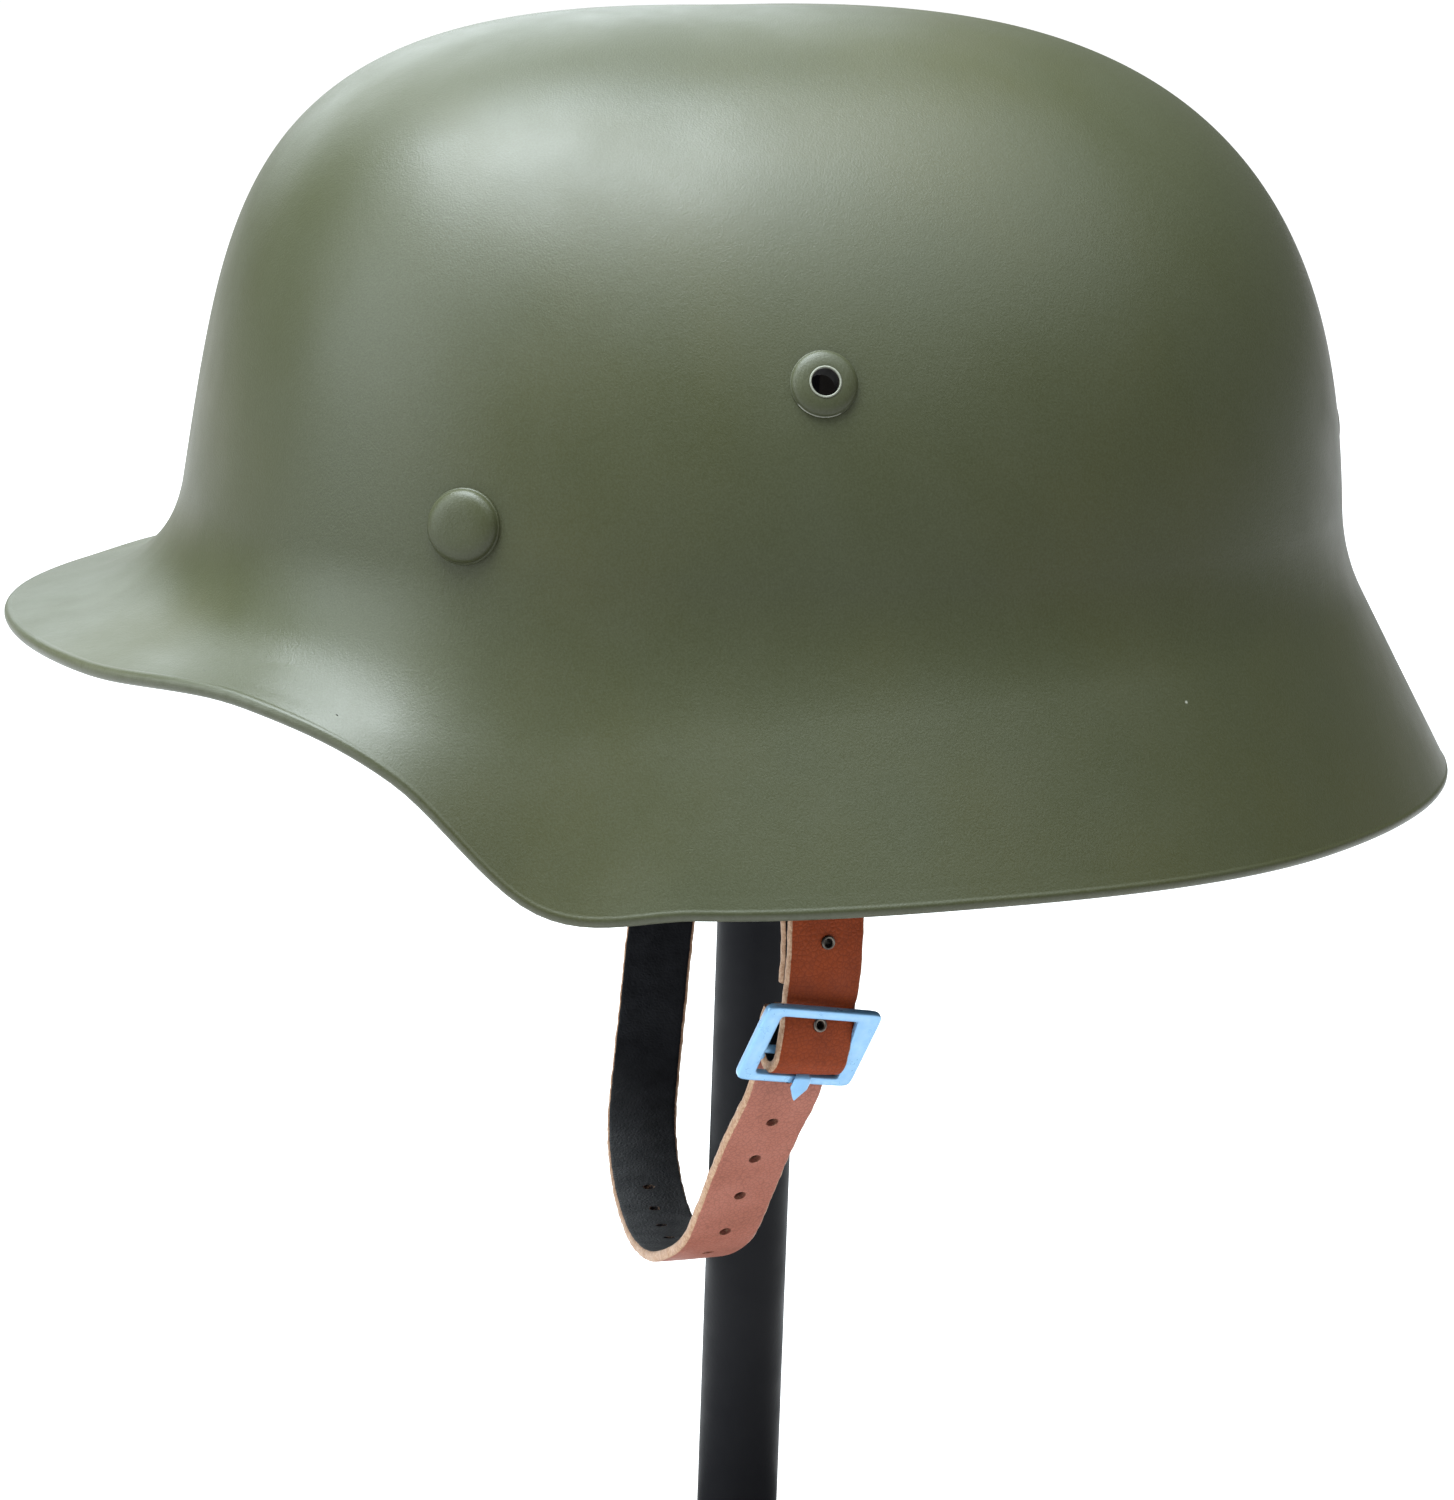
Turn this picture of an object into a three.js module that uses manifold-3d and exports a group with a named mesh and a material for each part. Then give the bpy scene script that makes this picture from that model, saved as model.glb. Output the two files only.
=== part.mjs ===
// A military steel helmet on a plain display stand.
// Millimetres, +Z up. The helmet's front looks along -Y and its left side along +X.
// The stand's foot rests on z = 0 and its pole is the Z axis.
import * as THREE from 'three';
import { mergeVertices } from 'three/addons/utils/BufferGeometryUtils.js';
import Module from 'manifold-3d';

const wasm = await Module();
wasm.setup();

// Pressed shell, in its own upright frame: z = 0 is the lowest run of the rim.
const crownHeight = 149.2;
const domeFront = 108.7;
const domeRear = 120.5;
const domeHalfWidth = 96;
const planPower = 2.22;
const domeLaw = {
  front: { bulge: 5.1, roof: 2.95, taper: 0.17 },
  rear: { bulge: 2.82, roof: 2.95, taper: 0.02 },
  side: { bulge: 2.4, roof: 2.2, taper: 0.083 },
};
const wall = 1.2;
const hemThickness = 2.8;
const hemDepth = 4.6;
const gap = 0.3;

// One row for each section round the shell, counted from the front.
// crease: height of the corner where dome and skirt would meet, blend: length rounded off it,
// reach: rim radius, rim: rim height.
const skirt = [
  { azimuth: 0, crease: 42.0, blend: 17.5, reach: 141.0, rim: 36.0 },
  { azimuth: 22, crease: 41.6, blend: 17.8, reach: 136.0, rim: 35.0 },
  { azimuth: 40, crease: 41.5, blend: 17.7, reach: 127.2, rim: 34.2 },
  { azimuth: 54, crease: 41.5, blend: 17.0, reach: 122.0, rim: 22.5 },
  { azimuth: 66, crease: 41.7, blend: 15.8, reach: 118.8, rim: 0.6 },
  { azimuth: 80, crease: 42.0, blend: 14.3, reach: 117.5, rim: 0.1 },
  { azimuth: 105, crease: 43.0, blend: 12.0, reach: 120.6, rim: 0.9 },
  { azimuth: 140, crease: 44.0, blend: 10.0, reach: 132.6, rim: 0.0 },
  { azimuth: 180, crease: 44.4, blend: 9.6, reach: 144.2, rim: -0.4 },
];

// Fittings on the shell, placed by azimuth from the front and by height.
const linerRivet = { azimuth: 54.8, height: 64.6, rearHeight: 66, headRadius: 6.9, headRise: 2.7 };
const rivetShank = 2.0;
const rivetTail = { radius: 3.4, from: -3.2, to: -5.0 };
const vent = {
  azimuth: 94.2, height: 89.6, flangeRadius: 6.1, flangeRise: 1.9, tubeRadius: 3.8, bore: 2.5,
};
const ventTail = { radius: 5.2, from: -2.4, to: -3.6 };
const headFoot = -0.9;
const drillReach = 6;

// Helmet on the stand: it hangs a little nose-down, and the pole meets the crown behind its middle.
const pitch = THREE.MathUtils.degToRad(1.95);
const poleUnderCrown = { y: 12.3, z: 140 };
const poleHead = 340;
const poleRadius = 8.2;
const capRadius = 14;
const capDepth = 7;
const baseRadius = 75;
const baseThickness = 8;

// Chin strap: one row for each station of the near half, from the loop down to the lowest point.
// side: distance from the middle plane, yaw: turn of the strap's face toward the rear, in degrees.
const strapWidth = 14.6;
const leather = 2.1;
const strapHang = [
  { side: 91.0, y: 6.0, z: 24.0, yaw: 12 },
  { side: 95.0, y: 6.0, z: 0.0, yaw: 14 },
  { side: 95.5, y: 4.8, z: -22.0, yaw: 14 },
  { side: 88.0, y: 0.0, z: -39.0, yaw: 11 },
  { side: 80.0, y: -3.3, z: -50.5, yaw: 11 },
  { side: 73.5, y: -5.4, z: -59.5, yaw: 12 },
  { side: 66.7, y: -7.3, z: -69.0, yaw: 13 },
  { side: 59.5, y: -9.3, z: -78.0, yaw: 13 },
  { side: 42.0, y: -12.5, z: -87.3, yaw: 8 },
  { side: 22.0, y: -14.0, z: -92.3, yaw: 4 },
  { side: 0.0, y: -14.3, z: -94.2, yaw: 0 },
];
const holeRadius = 1.2;
const holePitch = 11.6;
const holeCount = 12;
const eyelet = { head: 1.45, tube: 1.0, bore: 0.65, lip: 0.35 };
const loopBar = { along: 2.5, depth: -2.0, radius: 1.1 };
const bracket = { plateHigh: 15, plateWide: 20, plateBottom: 45, leg: 2.2 };

// Buckle: a flat stamped frame with a hidden bar across it and a prong on that bar.
const buckle = { wide: 22.6, high: 17.0, sideBar: 3.0, topBar: 2.6, lowBar: 2.0, thick: 2.0, lift: 2.2 };
const buckleAt = 54.2;
const centreBar = { along: 0.0, depth: 0.2, radius: 0.8 };
const prong = { wire: 0.8, wide: 2.4, tip: 3.4, clear: 0.2 };

const paint = { color: 0x565d4c, roughness: 0.5, metalness: 0.0 };
const leatherFace = { color: 0x7d3a20, roughness: 0.6, metalness: 0.0 };
const bluedMetal = { color: 0x7ea6d8, roughness: 0.4, metalness: 0.6 };
const darkMetal = { color: 0x4a4742, roughness: 0.5, metalness: 0.7 };
const standPaint = { color: 0x1b1c1f, roughness: 0.45, metalness: 0.0 };

function toManifold(geometry) {
  const plain = geometry.clone();
  plain.deleteAttribute('normal');
  plain.deleteAttribute('uv');
  const merged = mergeVertices(plain, 1e-4);
  const vertProperties = new Float32Array(merged.attributes.position.array);
  const triVerts = new Uint32Array(merged.index.array);
  return new wasm.Manifold(new wasm.Mesh({ numProp: 3, vertProperties, triVerts }));
}

function toGeometry(manifold) {
  const mesh = manifold.getMesh();
  const geometry = new THREE.BufferGeometry();
  geometry.setAttribute('position', new THREE.BufferAttribute(new Float32Array(mesh.vertProperties), 3));
  geometry.setIndex(new THREE.BufferAttribute(new Uint32Array(mesh.triVerts), 1));
  geometry.computeVertexNormals();
  return geometry;
}

// Smooth, even interpolation of one column of the skirt table over azimuth, level at front and rear.
function skirtAt(column, azimuthRad) {
  const a = Math.abs(THREE.MathUtils.radToDeg(Math.atan2(Math.sin(azimuthRad), Math.cos(azimuthRad))));
  const last = skirt.length - 1;
  let i = 0;
  while (i < last - 1 && a >= skirt[i + 1].azimuth) i += 1;
  const slope = (k) => {
    if (k === 0 || k === last) return 0;
    const before = skirt[k].azimuth - skirt[k - 1].azimuth;
    const after = skirt[k + 1].azimuth - skirt[k].azimuth;
    const rise = (skirt[k][column] - skirt[k - 1][column]) / before;
    const next = (skirt[k + 1][column] - skirt[k][column]) / after;
    return (rise * after + next * before) / (before + after);
  };
  const span = skirt[i + 1].azimuth - skirt[i].azimuth;
  const t = (a - skirt[i].azimuth) / span;
  const t2 = t * t;
  const t3 = t2 * t;
  return (2 * t3 - 3 * t2 + 1) * skirt[i][column]
    + (t3 - 2 * t2 + t) * span * slope(i)
    + (3 * t2 - 2 * t3) * skirt[i + 1][column]
    + (t3 - t2) * span * slope(i + 1);
}

// Meridian of the outer surface at one azimuth: part 0..1 dome, 1..2 blend, 2..3 skirt.
function meridian(azimuth, part) {
  const c = Math.cos(azimuth);
  const s = Math.abs(Math.sin(azimuth));
  const half = c > 0 ? domeFront : domeRear;
  const base = ((s / domeHalfWidth) ** planPower + (Math.abs(c) / half) ** planPower) ** (-1 / planPower);
  const frontShare = Math.max(c, 0) ** 2;
  const rearShare = Math.max(-c, 0) ** 2;
  const law = (key) => domeLaw.front[key] * frontShare + domeLaw.rear[key] * rearShare
    + domeLaw.side[key] * s * s;
  const bulge = law('bulge');
  const roof = law('roof');
  const taper = law('taper');
  const crease = skirtAt('crease', azimuth);
  const blend = skirtAt('blend', azimuth);
  const reach = skirtAt('reach', azimuth);
  const rim = skirtAt('rim', azimuth);
  const high = crownHeight - crease;
  const dome = (share) => {
    const lowest = (1 - (blend / high) ** bulge) ** (1 / roof);
    const out = Math.sin(share * Math.asin(lowest));
    const up = (1 - out ** roof) ** (1 / bulge);
    return [base * (1 - taper * up) * out, crease + high * up];
  };
  const length = Math.hypot(reach - base, rim - crease);
  const foot = [base + (reach - base) * blend / length, crease + (rim - crease) * blend / length];
  if (part <= 1) return dome(part);
  if (part <= 2) {
    const t = part - 1;
    const [r0, z0] = dome(1);
    const mix = (a, b, d) => (1 - t) ** 2 * a + 2 * t * (1 - t) * b + t * t * d;
    return [mix(r0, base, foot[0]), mix(z0, crease, foot[1])];
  }
  const t = part - 2;
  return [foot[0] + (reach - foot[0]) * t, foot[1] + (rim - foot[1]) * t];
}

function outerPoint(azimuth, part) {
  const [r, z] = meridian(azimuth, part);
  return new THREE.Vector3(r * Math.sin(azimuth), -r * Math.cos(azimuth), z);
}

// Outward normal of the shell by small differences in both directions.
function outerNormal(azimuth, part) {
  if (part < 1e-6) return new THREE.Vector3(0, 0, 1);
  const e = 1e-3;
  const round = outerPoint(azimuth + e, part).sub(outerPoint(azimuth - e, part));
  const down = outerPoint(azimuth, Math.min(part + e, 3)).sub(outerPoint(azimuth, Math.max(part - e, 0)));
  return down.cross(round).normalize();
}

const evenly = (from, to, count) => Array.from({ length: count }, (_, i) => from + (to - from) * i / (count - 1));

// Points of one meridian of a shell solid whose skin stands `grow` outside both faces of the wall.
// The rim is a rounded hem, thicker than the wall and standing inward.
function wallSection(azimuth, grow, withHem) {
  const rows = [];
  const skin = (part, inward) => outerPoint(azimuth, part).addScaledVector(outerNormal(azimuth, part), -inward);
  const outerParts = [...evenly(0, 1, 12), ...evenly(1, 2, 5).slice(1), 2.3, 2.6];
  for (const part of outerParts) rows.push(skin(part, -grow));
  const end = outerPoint(azimuth, 3);
  const normal = outerNormal(azimuth, 3);
  const along = end.clone().sub(outerPoint(azimuth, 2.5)).normalize();
  const hem = (withHem ? hemThickness : wall) + 2 * grow;
  const radius = hem / 2;
  for (const turn of evenly(0, Math.PI, 6)) {
    const up = radius - radius * Math.sin(turn);
    const inward = radius - radius * Math.cos(turn) - grow;
    rows.push(end.clone().addScaledVector(along, -up).addScaledVector(normal, -inward));
  }
  if (withHem) {
    rows.push(end.clone().addScaledVector(along, -hemDepth).addScaledVector(normal, -hemThickness));
    rows.push(end.clone().addScaledVector(along, -hemDepth - 0.7).addScaledVector(normal, -wall));
  }
  const innerParts = [2.45, ...evenly(2, 1, 5), ...evenly(1, 0, 9).slice(1)];
  for (const part of innerParts) rows.push(skin(part, wall + grow));
  return rows;
}

// Closed solid from sections round the Z axis, closer together where the rim drops to the ears.
// The first and last rows lie on the axis.
function turnedSolid(section, segments) {
  const sections = [];
  for (let j = 0; j < segments; j += 1) {
    const turn = 2 * Math.PI * j / segments;
    sections.push(section(turn + 0.1 * Math.sin(4 * turn)));
  }
  const rows = sections[0].length;
  const position = [sections[0][0]];
  for (let i = 1; i < rows - 1; i += 1) {
    for (let j = 0; j < segments; j += 1) position.push(sections[j][i]);
  }
  position.push(sections[0][rows - 1]);
  const at = (i, j) => 1 + (i - 1) * segments + (j % segments);
  const index = [];
  for (let j = 0; j < segments; j += 1) {
    index.push(0, at(1, j), at(1, j + 1));
    index.push(position.length - 1, at(rows - 2, j + 1), at(rows - 2, j));
    for (let i = 1; i < rows - 2; i += 1) {
      index.push(at(i, j), at(i + 1, j), at(i + 1, j + 1));
      index.push(at(i, j), at(i + 1, j + 1), at(i, j + 1));
    }
  }
  const geometry = new THREE.BufferGeometry().setFromPoints(position);
  geometry.setIndex(index);
  return toManifold(geometry);
}

const segments = 56;
const shellSolid = turnedSolid((azimuth) => wallSection(azimuth, 0, true), segments);
const keepClear = turnedSolid((azimuth) => wallSection(azimuth, gap, false), segments);
const hollow = turnedSolid((azimuth) => {
  const rows = [];
  for (const part of [...evenly(0, 1, 9), ...evenly(1, 2, 5).slice(1), 2.5]) {
    rows.push(outerPoint(azimuth, part).addScaledVector(outerNormal(azimuth, part), -wall - gap));
  }
  rows.push(new THREE.Vector3(0, 0, 15));
  return rows;
}, segments);

// Lathe solid from a profile that starts and ends on its axis, standing along a given direction.
function lathe(profile, steps, origin, direction) {
  const points = profile.map(([r, z]) => new THREE.Vector2(r, z));
  const geometry = new THREE.LatheGeometry(points, steps);
  const turn = new THREE.Quaternion().setFromUnitVectors(new THREE.Vector3(0, 1, 0), direction);
  geometry.applyQuaternion(turn);
  geometry.translate(origin.x, origin.y, origin.z);
  return toManifold(geometry);
}

// Finds the place on the dome at a given azimuth and height.
function domePlace(azimuthDeg, height) {
  const azimuth = THREE.MathUtils.degToRad(azimuthDeg);
  let low = 0;
  let high = 2;
  for (let i = 0; i < 40; i += 1) {
    const middle = (low + high) / 2;
    if (meridian(azimuth, middle)[1] > height) low = middle;
    else high = middle;
  }
  return { origin: outerPoint(azimuth, low), direction: outerNormal(azimuth, low) };
}

// Dome of a rivet or flange: quarter-ellipse profile from the outer edge up to an inner radius.
const domed = (radius, rise, inner) => evenly(0, Math.PI / 2, 6).map((t) => [
  inner + (radius - inner) * Math.cos(t), rise * Math.sin(t),
]);

// Straight drill through the wall at a place on the shell.
function drill(radius, steps, place) {
  const profile = [[0, -drillReach], [radius, -drillReach], [radius, drillReach], [0, drillReach]];
  return lathe(profile, steps, place.origin, place.direction);
}

function rivetAt(place) {
  const profile = [
    [0, rivetTail.to], [rivetTail.radius, rivetTail.to], [rivetTail.radius, rivetTail.from],
    [rivetShank, rivetTail.from], [rivetShank, headFoot],
    [linerRivet.headRadius, headFoot], ...domed(linerRivet.headRadius, linerRivet.headRise, 0),
  ];
  const shank = drill(rivetShank + 0.1, 16, place);
  return lathe(profile, 16, place.origin, place.direction).subtract(keepClear.subtract(shank));
}

function ventAt(place) {
  const { flangeRadius, flangeRise, tubeRadius, bore } = vent;
  const profile = [
    [bore, ventTail.to], [ventTail.radius, ventTail.to], [ventTail.radius, ventTail.from],
    [tubeRadius, ventTail.from], [tubeRadius, headFoot], [flangeRadius, headFoot],
    ...domed(flangeRadius, flangeRise, bore), [bore, ventTail.to],
  ];
  const clear = drill(tubeRadius + 0.1, 20, place);
  return lathe(profile, 18, place.origin, place.direction).subtract(keepClear.subtract(clear));
}

const places = {
  liner_rivet_left: domePlace(linerRivet.azimuth, linerRivet.height),
  liner_rivet_right: domePlace(-linerRivet.azimuth, linerRivet.height),
  liner_rivet_rear: domePlace(180, linerRivet.rearHeight),
  vent_bushing_left: domePlace(vent.azimuth, vent.height),
  vent_bushing_right: domePlace(-vent.azimuth, vent.height),
};

let shell = shellSolid;
for (const [name, place] of Object.entries(places)) {
  const radius = (name.startsWith('vent') ? vent.tubeRadius : rivetShank) + gap;
  shell = shell.subtract(drill(radius, 20, place));
}

// The strap's centre line: the near half of the table, then its mirror image on the far side.
const stations = [
  ...strapHang.map((row) => ({ ...row })),
  ...strapHang.slice(0, -1).reverse().map((row) => ({ ...row, side: -row.side, yaw: -row.yaw })),
];
const hang = new THREE.CatmullRomCurve3(
  stations.map((row) => new THREE.Vector3(row.side, row.y, row.z)), false, 'centripetal');
hang.arcLengthDivisions = 600;
const hangLength = hang.getLength();

// Frame of the strap at a distance along it: down the strap, outward from its face, and across it.
function strapFrame(along) {
  const u = THREE.MathUtils.clamp(along / hangLength, 0, 1);
  const place = hang.getUtoTmapping(u) * (stations.length - 1);
  const i = Math.min(Math.floor(place), stations.length - 2);
  const yaw = THREE.MathUtils.degToRad(THREE.MathUtils.lerp(stations[i].yaw, stations[i + 1].yaw, place - i));
  const tangent = hang.getTangentAt(u);
  const across = new THREE.Vector3(Math.sin(yaw), -Math.cos(yaw), 0);
  across.addScaledVector(tangent, -across.dot(tangent)).normalize();
  const outward = across.clone().cross(tangent).normalize();
  const origin = hang.getPointAt(u).addScaledVector(tangent, along - u * hangLength);
  return { origin, tangent, outward, across };
}

function strapPoint(along, out, side) {
  const { origin, outward, across } = strapFrame(along);
  return origin.addScaledVector(outward, out).addScaledVector(across, side);
}

// Ribbon of leather along a centre line drawn in (along, out) and bent onto the hanging strap.
// Each station has four corners: outer and inner face, on both edges of the strap.
function ribbon(centre, width) {
  const position = [];
  centre.forEach((p, i) => {
    const a = centre[Math.max(i - 1, 0)];
    const b = centre[Math.min(i + 1, centre.length - 1)];
    const n = new THREE.Vector2(a.y - b.y, b.x - a.x).normalize().multiplyScalar(leather / 2);
    for (const [face, edge] of [[1, 1], [-1, 1], [-1, -1], [1, -1]]) {
      position.push(strapPoint(p.x + face * n.x, p.y + face * n.y, edge * width / 2));
    }
  });
  const last = 4 * (centre.length - 1);
  const index = [0, 2, 1, 0, 3, 2, last, last + 1, last + 2, last, last + 2, last + 3];
  for (let i = 0; i < centre.length - 1; i += 1) {
    for (let k = 0; k < 4; k += 1) {
      const here = 4 * i + k;
      const next = 4 * i + (k + 1) % 4;
      index.push(here, next, here + 4, next, next + 4, here + 4);
    }
  }
  const geometry = new THREE.BufferGeometry().setFromPoints(position);
  geometry.setIndex(index);
  return toManifold(geometry);
}

const arc = (centre, radius, from, to, count) => evenly(from, to, count).map((t) => new THREE.Vector2(
  centre.x + radius * Math.cos(t), centre.y + radius * Math.sin(t)));
const run = (from, to, count) => evenly(0, 1, count).map((t) => from.clone().lerp(to, t));
const at = (along, out) => new THREE.Vector2(along, out);

// Direction through the strap at a distance along it, leaned up the strap by an angle.
function through(along, lean) {
  const { origin, outward, tangent } = strapFrame(along);
  return { origin, direction: outward.multiplyScalar(Math.cos(lean)).addScaledVector(tangent, -Math.sin(lean)) };
}

// A small hollow rivet through the strap, between two depths.
function eyeletAt(along, outer, inner, lean = 0) {
  const { origin, direction } = through(along, lean);
  const { head, tube, bore, lip } = eyelet;
  const profile = [
    [bore, inner - lip], [head, inner - lip], [head, inner], [tube, inner], [tube, outer],
    [head, outer], [head - 0.3, outer + lip], [bore, outer + lip], [bore, inner - lip],
  ];
  return lathe(profile, 12, origin, direction);
}

function punch(along, radius, depth, lean = 0) {
  const { origin, direction } = through(along, lean);
  return lathe([[0, depth - 5], [radius, depth - 5], [radius, depth + 5], [0, depth + 5]], 8, origin, direction);
}

const foldRadius = loopBar.radius + gap + leather / 2;
const layer = leather + gap + 0.05;
const frontDepth = -0.75;
const bar = at(buckleAt + centreBar.along, centreBar.depth);
const wrapRadius = centreBar.radius + prong.wire + 2 * prong.clear + leather / 2;

// Short strap: end of the upper turn, round the loop bar, down the face, round the buckle's bar and up again.
const shortLine = [
  ...run(at(buckleAt - 11, frontDepth - layer), at(6, loopBar.depth - foldRadius), 9),
  ...arc(at(loopBar.along, loopBar.depth), foldRadius, 1.5 * Math.PI, 0.5 * Math.PI, 9),
  ...run(at(6, loopBar.depth + foldRadius), at(buckleAt - 12, frontDepth), 9),
  at(buckleAt - 9, frontDepth),
  at(buckleAt - 6.6, frontDepth + 0.1),
  at(buckleAt - 4.4, 0.7),
  ...arc(bar, wrapRadius, 0.68 * Math.PI, -0.62 * Math.PI, 12),
  at(bar.x - 4.4, frontDepth - layer - 0.5),
  at(bar.x - 8.0, frontDepth - layer - 0.1),
];

// Long strap: from behind the buckle, under the chin, up the far side, round the far loop bar and back.
const farEnd = hangLength;
const longLine = [
  at(buckleAt - 2.0, -6.4),
  at(buckleAt + 1.4, -6.0),
  at(buckleAt + 4.5, -4.8),
  at(buckleAt + 7.5, -2.9),
  at(buckleAt + 10.5, -1.2),
  at(buckleAt + 14, -0.3),
  ...run(at(buckleAt + 19, 0), at(farEnd - 45, 0), 34),
  ...run(at(farEnd - 40, 0), at(farEnd - 6, loopBar.depth + foldRadius), 8),
  ...arc(at(farEnd - loopBar.along, loopBar.depth), foldRadius, 0.5 * Math.PI, -0.5 * Math.PI, 9),
  ...run(at(farEnd - 6, loopBar.depth - foldRadius), at(farEnd - 44, -layer), 8),
];

const upperEyelet = 34.6;
const lowerEyelet = buckleAt - 3.3;
const lowerLean = 0.6;
const firstHole = buckleAt + 10.2;
const prongSlot = new THREE.BoxGeometry(3.6, 2.6, prong.wide + 0.8);
prongSlot.translate(centreBar.along + wrapRadius + 0.3, centreBar.depth + 0.4, 0);

let strapShort = ribbon(shortLine, strapWidth)
  .subtract(punch(upperEyelet, eyelet.tube + gap, -1.5))
  .subtract(punch(lowerEyelet, eyelet.tube + gap, 3.6, lowerLean));
let strapLong = ribbon(longLine, strapWidth).subtract(punch(farEnd - upperEyelet, eyelet.tube + gap, -1));
for (let i = 0; i < holeCount; i += 1) {
  strapLong = strapLong.subtract(punch(firstHole + i * holePitch, holeRadius, 0));
}

// Rigid pieces of the buckle are drawn as (along, out, side) about the buckle's own middle.
const buckleFrame = strapFrame(buckleAt);
const buckleTurn = new THREE.Matrix4().makeBasis(buckleFrame.tangent, buckleFrame.outward, buckleFrame.across)
  .setPosition(buckleFrame.origin);
const rigid = (geometry) => toManifold(geometry.applyMatrix4(buckleTurn));

function roundedRect(shape, x0, y0, x1, y1, radius) {
  shape.moveTo(x0 + radius, y0);
  shape.lineTo(x1 - radius, y0);
  shape.absarc(x1 - radius, y0 + radius, radius, -Math.PI / 2, 0);
  shape.lineTo(x1, y1 - radius);
  shape.absarc(x1 - radius, y1 - radius, radius, 0, Math.PI / 2);
  shape.lineTo(x0 + radius, y1);
  shape.absarc(x0 + radius, y1 - radius, radius, Math.PI / 2, Math.PI);
  shape.lineTo(x0, y0 + radius);
  shape.absarc(x0 + radius, y0 + radius, radius, Math.PI, 1.5 * Math.PI);
  return shape;
}

function buckleSolid() {
  const { wide, high, sideBar, topBar, lowBar, thick, lift } = buckle;
  const outline = roundedRect(new THREE.Shape(), -high / 2, -wide / 2, high / 2, wide / 2, 1.6);
  const window = roundedRect(new THREE.Path(), -high / 2 + topBar, -wide / 2 + sideBar,
    high / 2 - lowBar, wide / 2 - sideBar, 0.8);
  outline.holes.push(window);
  const plate = new THREE.ExtrudeGeometry(outline, { depth: thick, bevelEnabled: false, curveSegments: 4 });
  plate.rotateX(Math.PI / 2);
  plate.translate(0, lift + thick / 2, 0);
  const rod = new THREE.CylinderGeometry(centreBar.radius, centreBar.radius, wide - 2, 12);
  rod.rotateX(Math.PI / 2);
  rod.translate(centreBar.along, centreBar.depth, 0);
  const ears = [-1, 1].map((end) => {
    const ear = new THREE.BoxGeometry(2.4, lift - centreBar.depth + 0.8, 1.8);
    ear.translate(centreBar.along, (lift + centreBar.depth) / 2, end * (wide / 2 - 1.2));
    return rigid(ear);
  });
  return rigid(plate).add(rigid(rod)).add(ears[0]).add(ears[1]);
}

// Prong: a ring on the bar, an arm to the low bar of the frame and a pointed tip lying on it.
function prongSolid() {
  const inner = centreBar.radius + prong.clear;
  const ring = new THREE.Shape();
  ring.absarc(0, 0, inner + prong.wire, 0, 2 * Math.PI);
  const eye = new THREE.Path();
  eye.absarc(0, 0, inner, 0, 2 * Math.PI);
  ring.holes.push(eye);
  const ringSolid = new THREE.ExtrudeGeometry(ring, { depth: prong.wide, bevelEnabled: false, curveSegments: 10 });
  ringSolid.translate(centreBar.along, centreBar.depth, -prong.wide / 2);
  const front = buckle.lift + buckle.thick / 2 + gap;
  const low = buckle.high / 2;
  const armLine = new THREE.Shape([
    at(centreBar.along + inner + 0.2, centreBar.depth - 0.1),
    at(low - buckle.lowBar - 0.5, centreBar.depth + 0.3),
    at(low - buckle.lowBar - 0.5, front),
    at(low + 0.6, front),
    at(low + 0.6, front + prong.wire),
    at(low - buckle.lowBar - 0.5 - prong.wire, front + prong.wire),
    at(low - buckle.lowBar - 0.5 - prong.wire, centreBar.depth + 0.9),
    at(centreBar.along + inner + 0.2, centreBar.depth + 0.7),
  ]);
  const arm = new THREE.ExtrudeGeometry(armLine, { depth: prong.wide, bevelEnabled: false });
  arm.translate(0, 0, -prong.wide / 2);
  const point = new THREE.Shape([
    at(low - 1.6, -prong.tip / 2), at(low + 0.4, -prong.tip / 2), at(low + 3, 0), at(low + 0.4, prong.tip / 2),
    at(low - 1.6, prong.tip / 2),
  ]);
  const tip = new THREE.ExtrudeGeometry(point, { depth: prong.wire, bevelEnabled: false });
  tip.rotateX(Math.PI / 2);
  tip.translate(0, front + prong.wire, 0);
  return rigid(ringSolid).add(rigid(arm)).add(rigid(tip));
}

strapShort = strapShort.subtract(rigid(prongSlot));

// Loop bracket inside the shell: a plate seated on the wall, two legs and the bar the strap hangs on.
function bracketSolid(mirror) {
  const barPlace = strapPoint(loopBar.along, loopBar.depth, 0);
  const { plateHigh, plateWide, plateBottom, leg } = bracket;
  const yaw = THREE.MathUtils.degToRad(strapHang[0].yaw);
  const place = (geometry, z) => {
    geometry.rotateZ(yaw);
    geometry.translate(barPlace.x, barPlace.y, z);
    if (mirror) geometry.scale(-1, 1, 1);
    if (mirror) geometry.index.array.reverse();
    return toManifold(geometry);
  };
  const plate = new THREE.BoxGeometry(8, plateWide, plateHigh);
  plate.translate(4.7, 0, 0);
  let solid = place(plate, plateBottom + plateHigh / 2).intersect(hollow);
  const rod = new THREE.CylinderGeometry(loopBar.radius, loopBar.radius, plateWide, 12);
  solid = solid.add(place(rod, barPlace.z));
  for (const side of [-1, 1]) {
    const legHigh = plateBottom + 2 - barPlace.z + loopBar.radius;
    const post = new THREE.BoxGeometry(leg, leg, legHigh);
    post.translate(0, side * (plateWide - leg) / 2, 0);
    solid = solid.add(place(post, barPlace.z - loopBar.radius + legHigh / 2));
  }
  return solid.intersect(hollow);
}

const group = new THREE.Group();
group.name = 'helmet_on_stand';

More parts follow.
